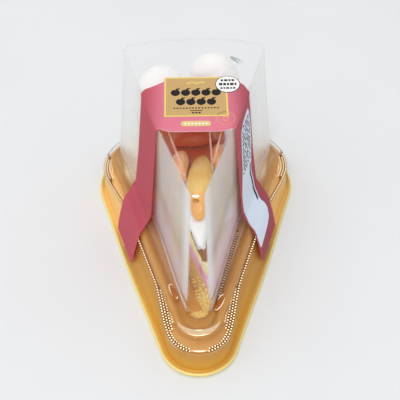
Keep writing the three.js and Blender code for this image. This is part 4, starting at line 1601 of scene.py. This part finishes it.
def cream_peak(draw, share, side):
    """Thin tongue of cream that hangs from the coat's lower edge near the tip."""
    edge = slice_ring(-0.75, -0.2, HIGH_SPONGE_TOP + 2.2)
    tip = edge[TIP_INDEX]
    root = edge[TIP_INDEX + side * (2 + int(share * 16))]
    reach = draw.uniform(*PEAK_REACH) * (1 - 0.75 * share)
    wide = draw.uniform(0.7, 1.3)
    toward = (root - tip) / (np.linalg.norm(root - tip) + 0.01)
    turns = np.linspace(0, 2 * math.pi, 8, endpoint=False)
    section = np.outer(np.cos(turns), toward[:2]) + np.outer(np.sin(turns), [0.0, -0.35])
    rings = []
    for t in np.linspace(0, 1, 9):
        plan = section * (wide * (1 - t) ** 0.7 + 0.06) + root[:2]
        rings.append(np.column_stack([plan, np.full(8, root[2] - reach * t)]))
    return skin(rings[::-1])


def make_peaks():
    draw = random.Random(PEAK_SEED)
    tongues = []
    for side in (-1, 1):
        for _ in range(PEAK_COUNT // 2):
            tongues.append(cream_peak(draw, abs(draw.gauss(0, 0.45)) % 1, side))
    points, faces = merge(tongues)
    add_mesh("cream_peaks", points, faces, [CREAM], "cream_coat")


# Painted highlight and painted shade on the front peach: a glint, and the dark line below it.
# Columns: name, place, half length, half width and half height, and material
MARKS = (
    ("painted_glint_on_peach", (-0.4, -17.8), (1.9, 0.7, 0.35), GLINT),
    ("painted_dark_line_on_peach", (-0.4, -19.5), (1.7, 1.1, 0.3), GLINT_DARK_LINE),
)


def make_mark(peach, name, place, half, material):
    """Flat lens-shaped mark on the upper face of the peach."""
    spot = peach.ray_cast(Vector((*place, 75)) * MM, Vector((0, 0, -1)))[1]
    turns = np.linspace(0, 2 * math.pi, 20, endpoint=False)
    outline = np.stack([half[0] * np.cos(turns), half[1] * np.sin(turns)], 1)
    rings = []
    for t in np.linspace(-0.9, 1.45, 9):
        height = np.full(20, spot.z / MM + half[2] * math.sin(t))
        rings.append(np.column_stack([outline * math.cos(t) + place, height]))
    points, faces = skin(rings)
    add_mesh(name, points, faces, [material], "cream_coat")


def make_cake():
    make_layer("sponge_bottom", "sponge_low", SLICE_BASE, LOW_SPONGE_TOP, 0.3, crumb, SPONGE_GOLD_REFLECTION)
    make_layer("cream_filling", "filling", LOW_SPONGE_TOP + LAYER_GAP, FILLING_TOP, -0.6, smear,
               FILLING)
    make_layer("sponge_top", "sponge_high", FILLING_TOP + LAYER_GAP, HIGH_SPONGE_TOP, 0.3, crumb,
               SPONGE)
    make_coat()
    make_puff("puff_left", "cream_puff_left", -15.5, 48.8, 11.8, 12.4, 0.4)
    make_puff("puff_right", "cream_puff_right", 8.8, 50.6, 12.4, 16.2, 2.4)
    peaches = [make_peach(*values) for values in PEACHES]
    make_glaze()
    make_crumbs()
    make_peaks()
    for mark in MARKS:
        make_mark(peaches[0], *mark)


# Floor, light and camera
CAMERA_PLACE = Vector((-3.27, -306.24, 375.3)) * MM
CAMERA_AIM = Vector((2.04, 31.62, 0)) * MM
CAMERA_ROLL = math.radians(-0.22)
CAMERA_LENS = 90


def make_floor():
    size = 3.0
    mesh = bpy.data.meshes.new("floor")
    mesh.from_pydata([(-size, -size, 0), (size, -size, 0), (size, size, 0), (-size, size, 0)], [],
                     [(0, 1, 2, 3)])
    look = Look("floor_white")
    tone = look.ramp(look.noise(60, 2), [(0.3, srgb(234, 236, 238)), (0.7, srgb(236, 238, 240))])
    mesh.materials.append(look.done(look.principled(Base_Color=tone, Roughness=0.7)))
    floor = bpy.data.objects.new("floor", mesh)
    bpy.context.scene.collection.objects.link(floor)


def make_camera():
    data = bpy.data.cameras.new("camera")
    data.lens = CAMERA_LENS
    data.sensor_width = 36
    data.clip_start = 0.01
    camera = bpy.data.objects.new("camera", data)
    turn = (CAMERA_AIM - CAMERA_PLACE).to_track_quat("-Z", "Y").to_matrix().to_4x4()
    roll = Matrix.Rotation(CAMERA_ROLL, 4, "Z")
    camera.matrix_world = Matrix.Translation(CAMERA_PLACE) @ turn @ roll
    bpy.context.scene.collection.objects.link(camera)
    bpy.context.scene.camera = camera


def make_light(name, place, aim, size, watts):
    data = bpy.data.lights.new(name, "AREA")
    data.shape = "RECTANGLE"
    data.size, data.size_y = size
    data.energy = watts
    light = bpy.data.objects.new(name, data)
    light.location = place
    light.rotation_euler = (Vector(aim) - Vector(place)).to_track_quat("-Z", "Y").to_euler()
    bpy.context.scene.collection.objects.link(light)


def make_light_set():
    world = bpy.data.worlds.new("studio")
    world.use_nodes = True
    backdrop = world.node_tree.nodes["Background"]
    backdrop.inputs["Color"].default_value = (1, 1, 1, 1)
    backdrop.inputs["Strength"].default_value = 0.7
    bpy.context.scene.world = world
    make_light("overhead", (-0.3, 0.05, 1.3), (0, 0, 0), (1.6, 1.2), 4.2)
    make_light("lamp", (-0.14, -0.72, 1.1), (0, 0, 0.03), (0.25, 0.25), 3.0)


make_camera()
make_light_set()
make_floor()
make_tray()
make_lid()
make_edge_beads()
make_foot_relief()
for boss, (boss_centre, boss_turn) in BOSSES.items():
    make_boss(boss, boss_centre, boss_turn)
make_nose_highlights()
make_dimples()
make_top_reflections()
make_leaf_mark()
make_band()
make_label()
make_badge()
make_stamp()
make_pill()
make_info()
make_cake()

bpy.context.scene.view_settings.view_transform = "Standard"
bpy.context.scene.cycles.transparent_max_bounces = 24
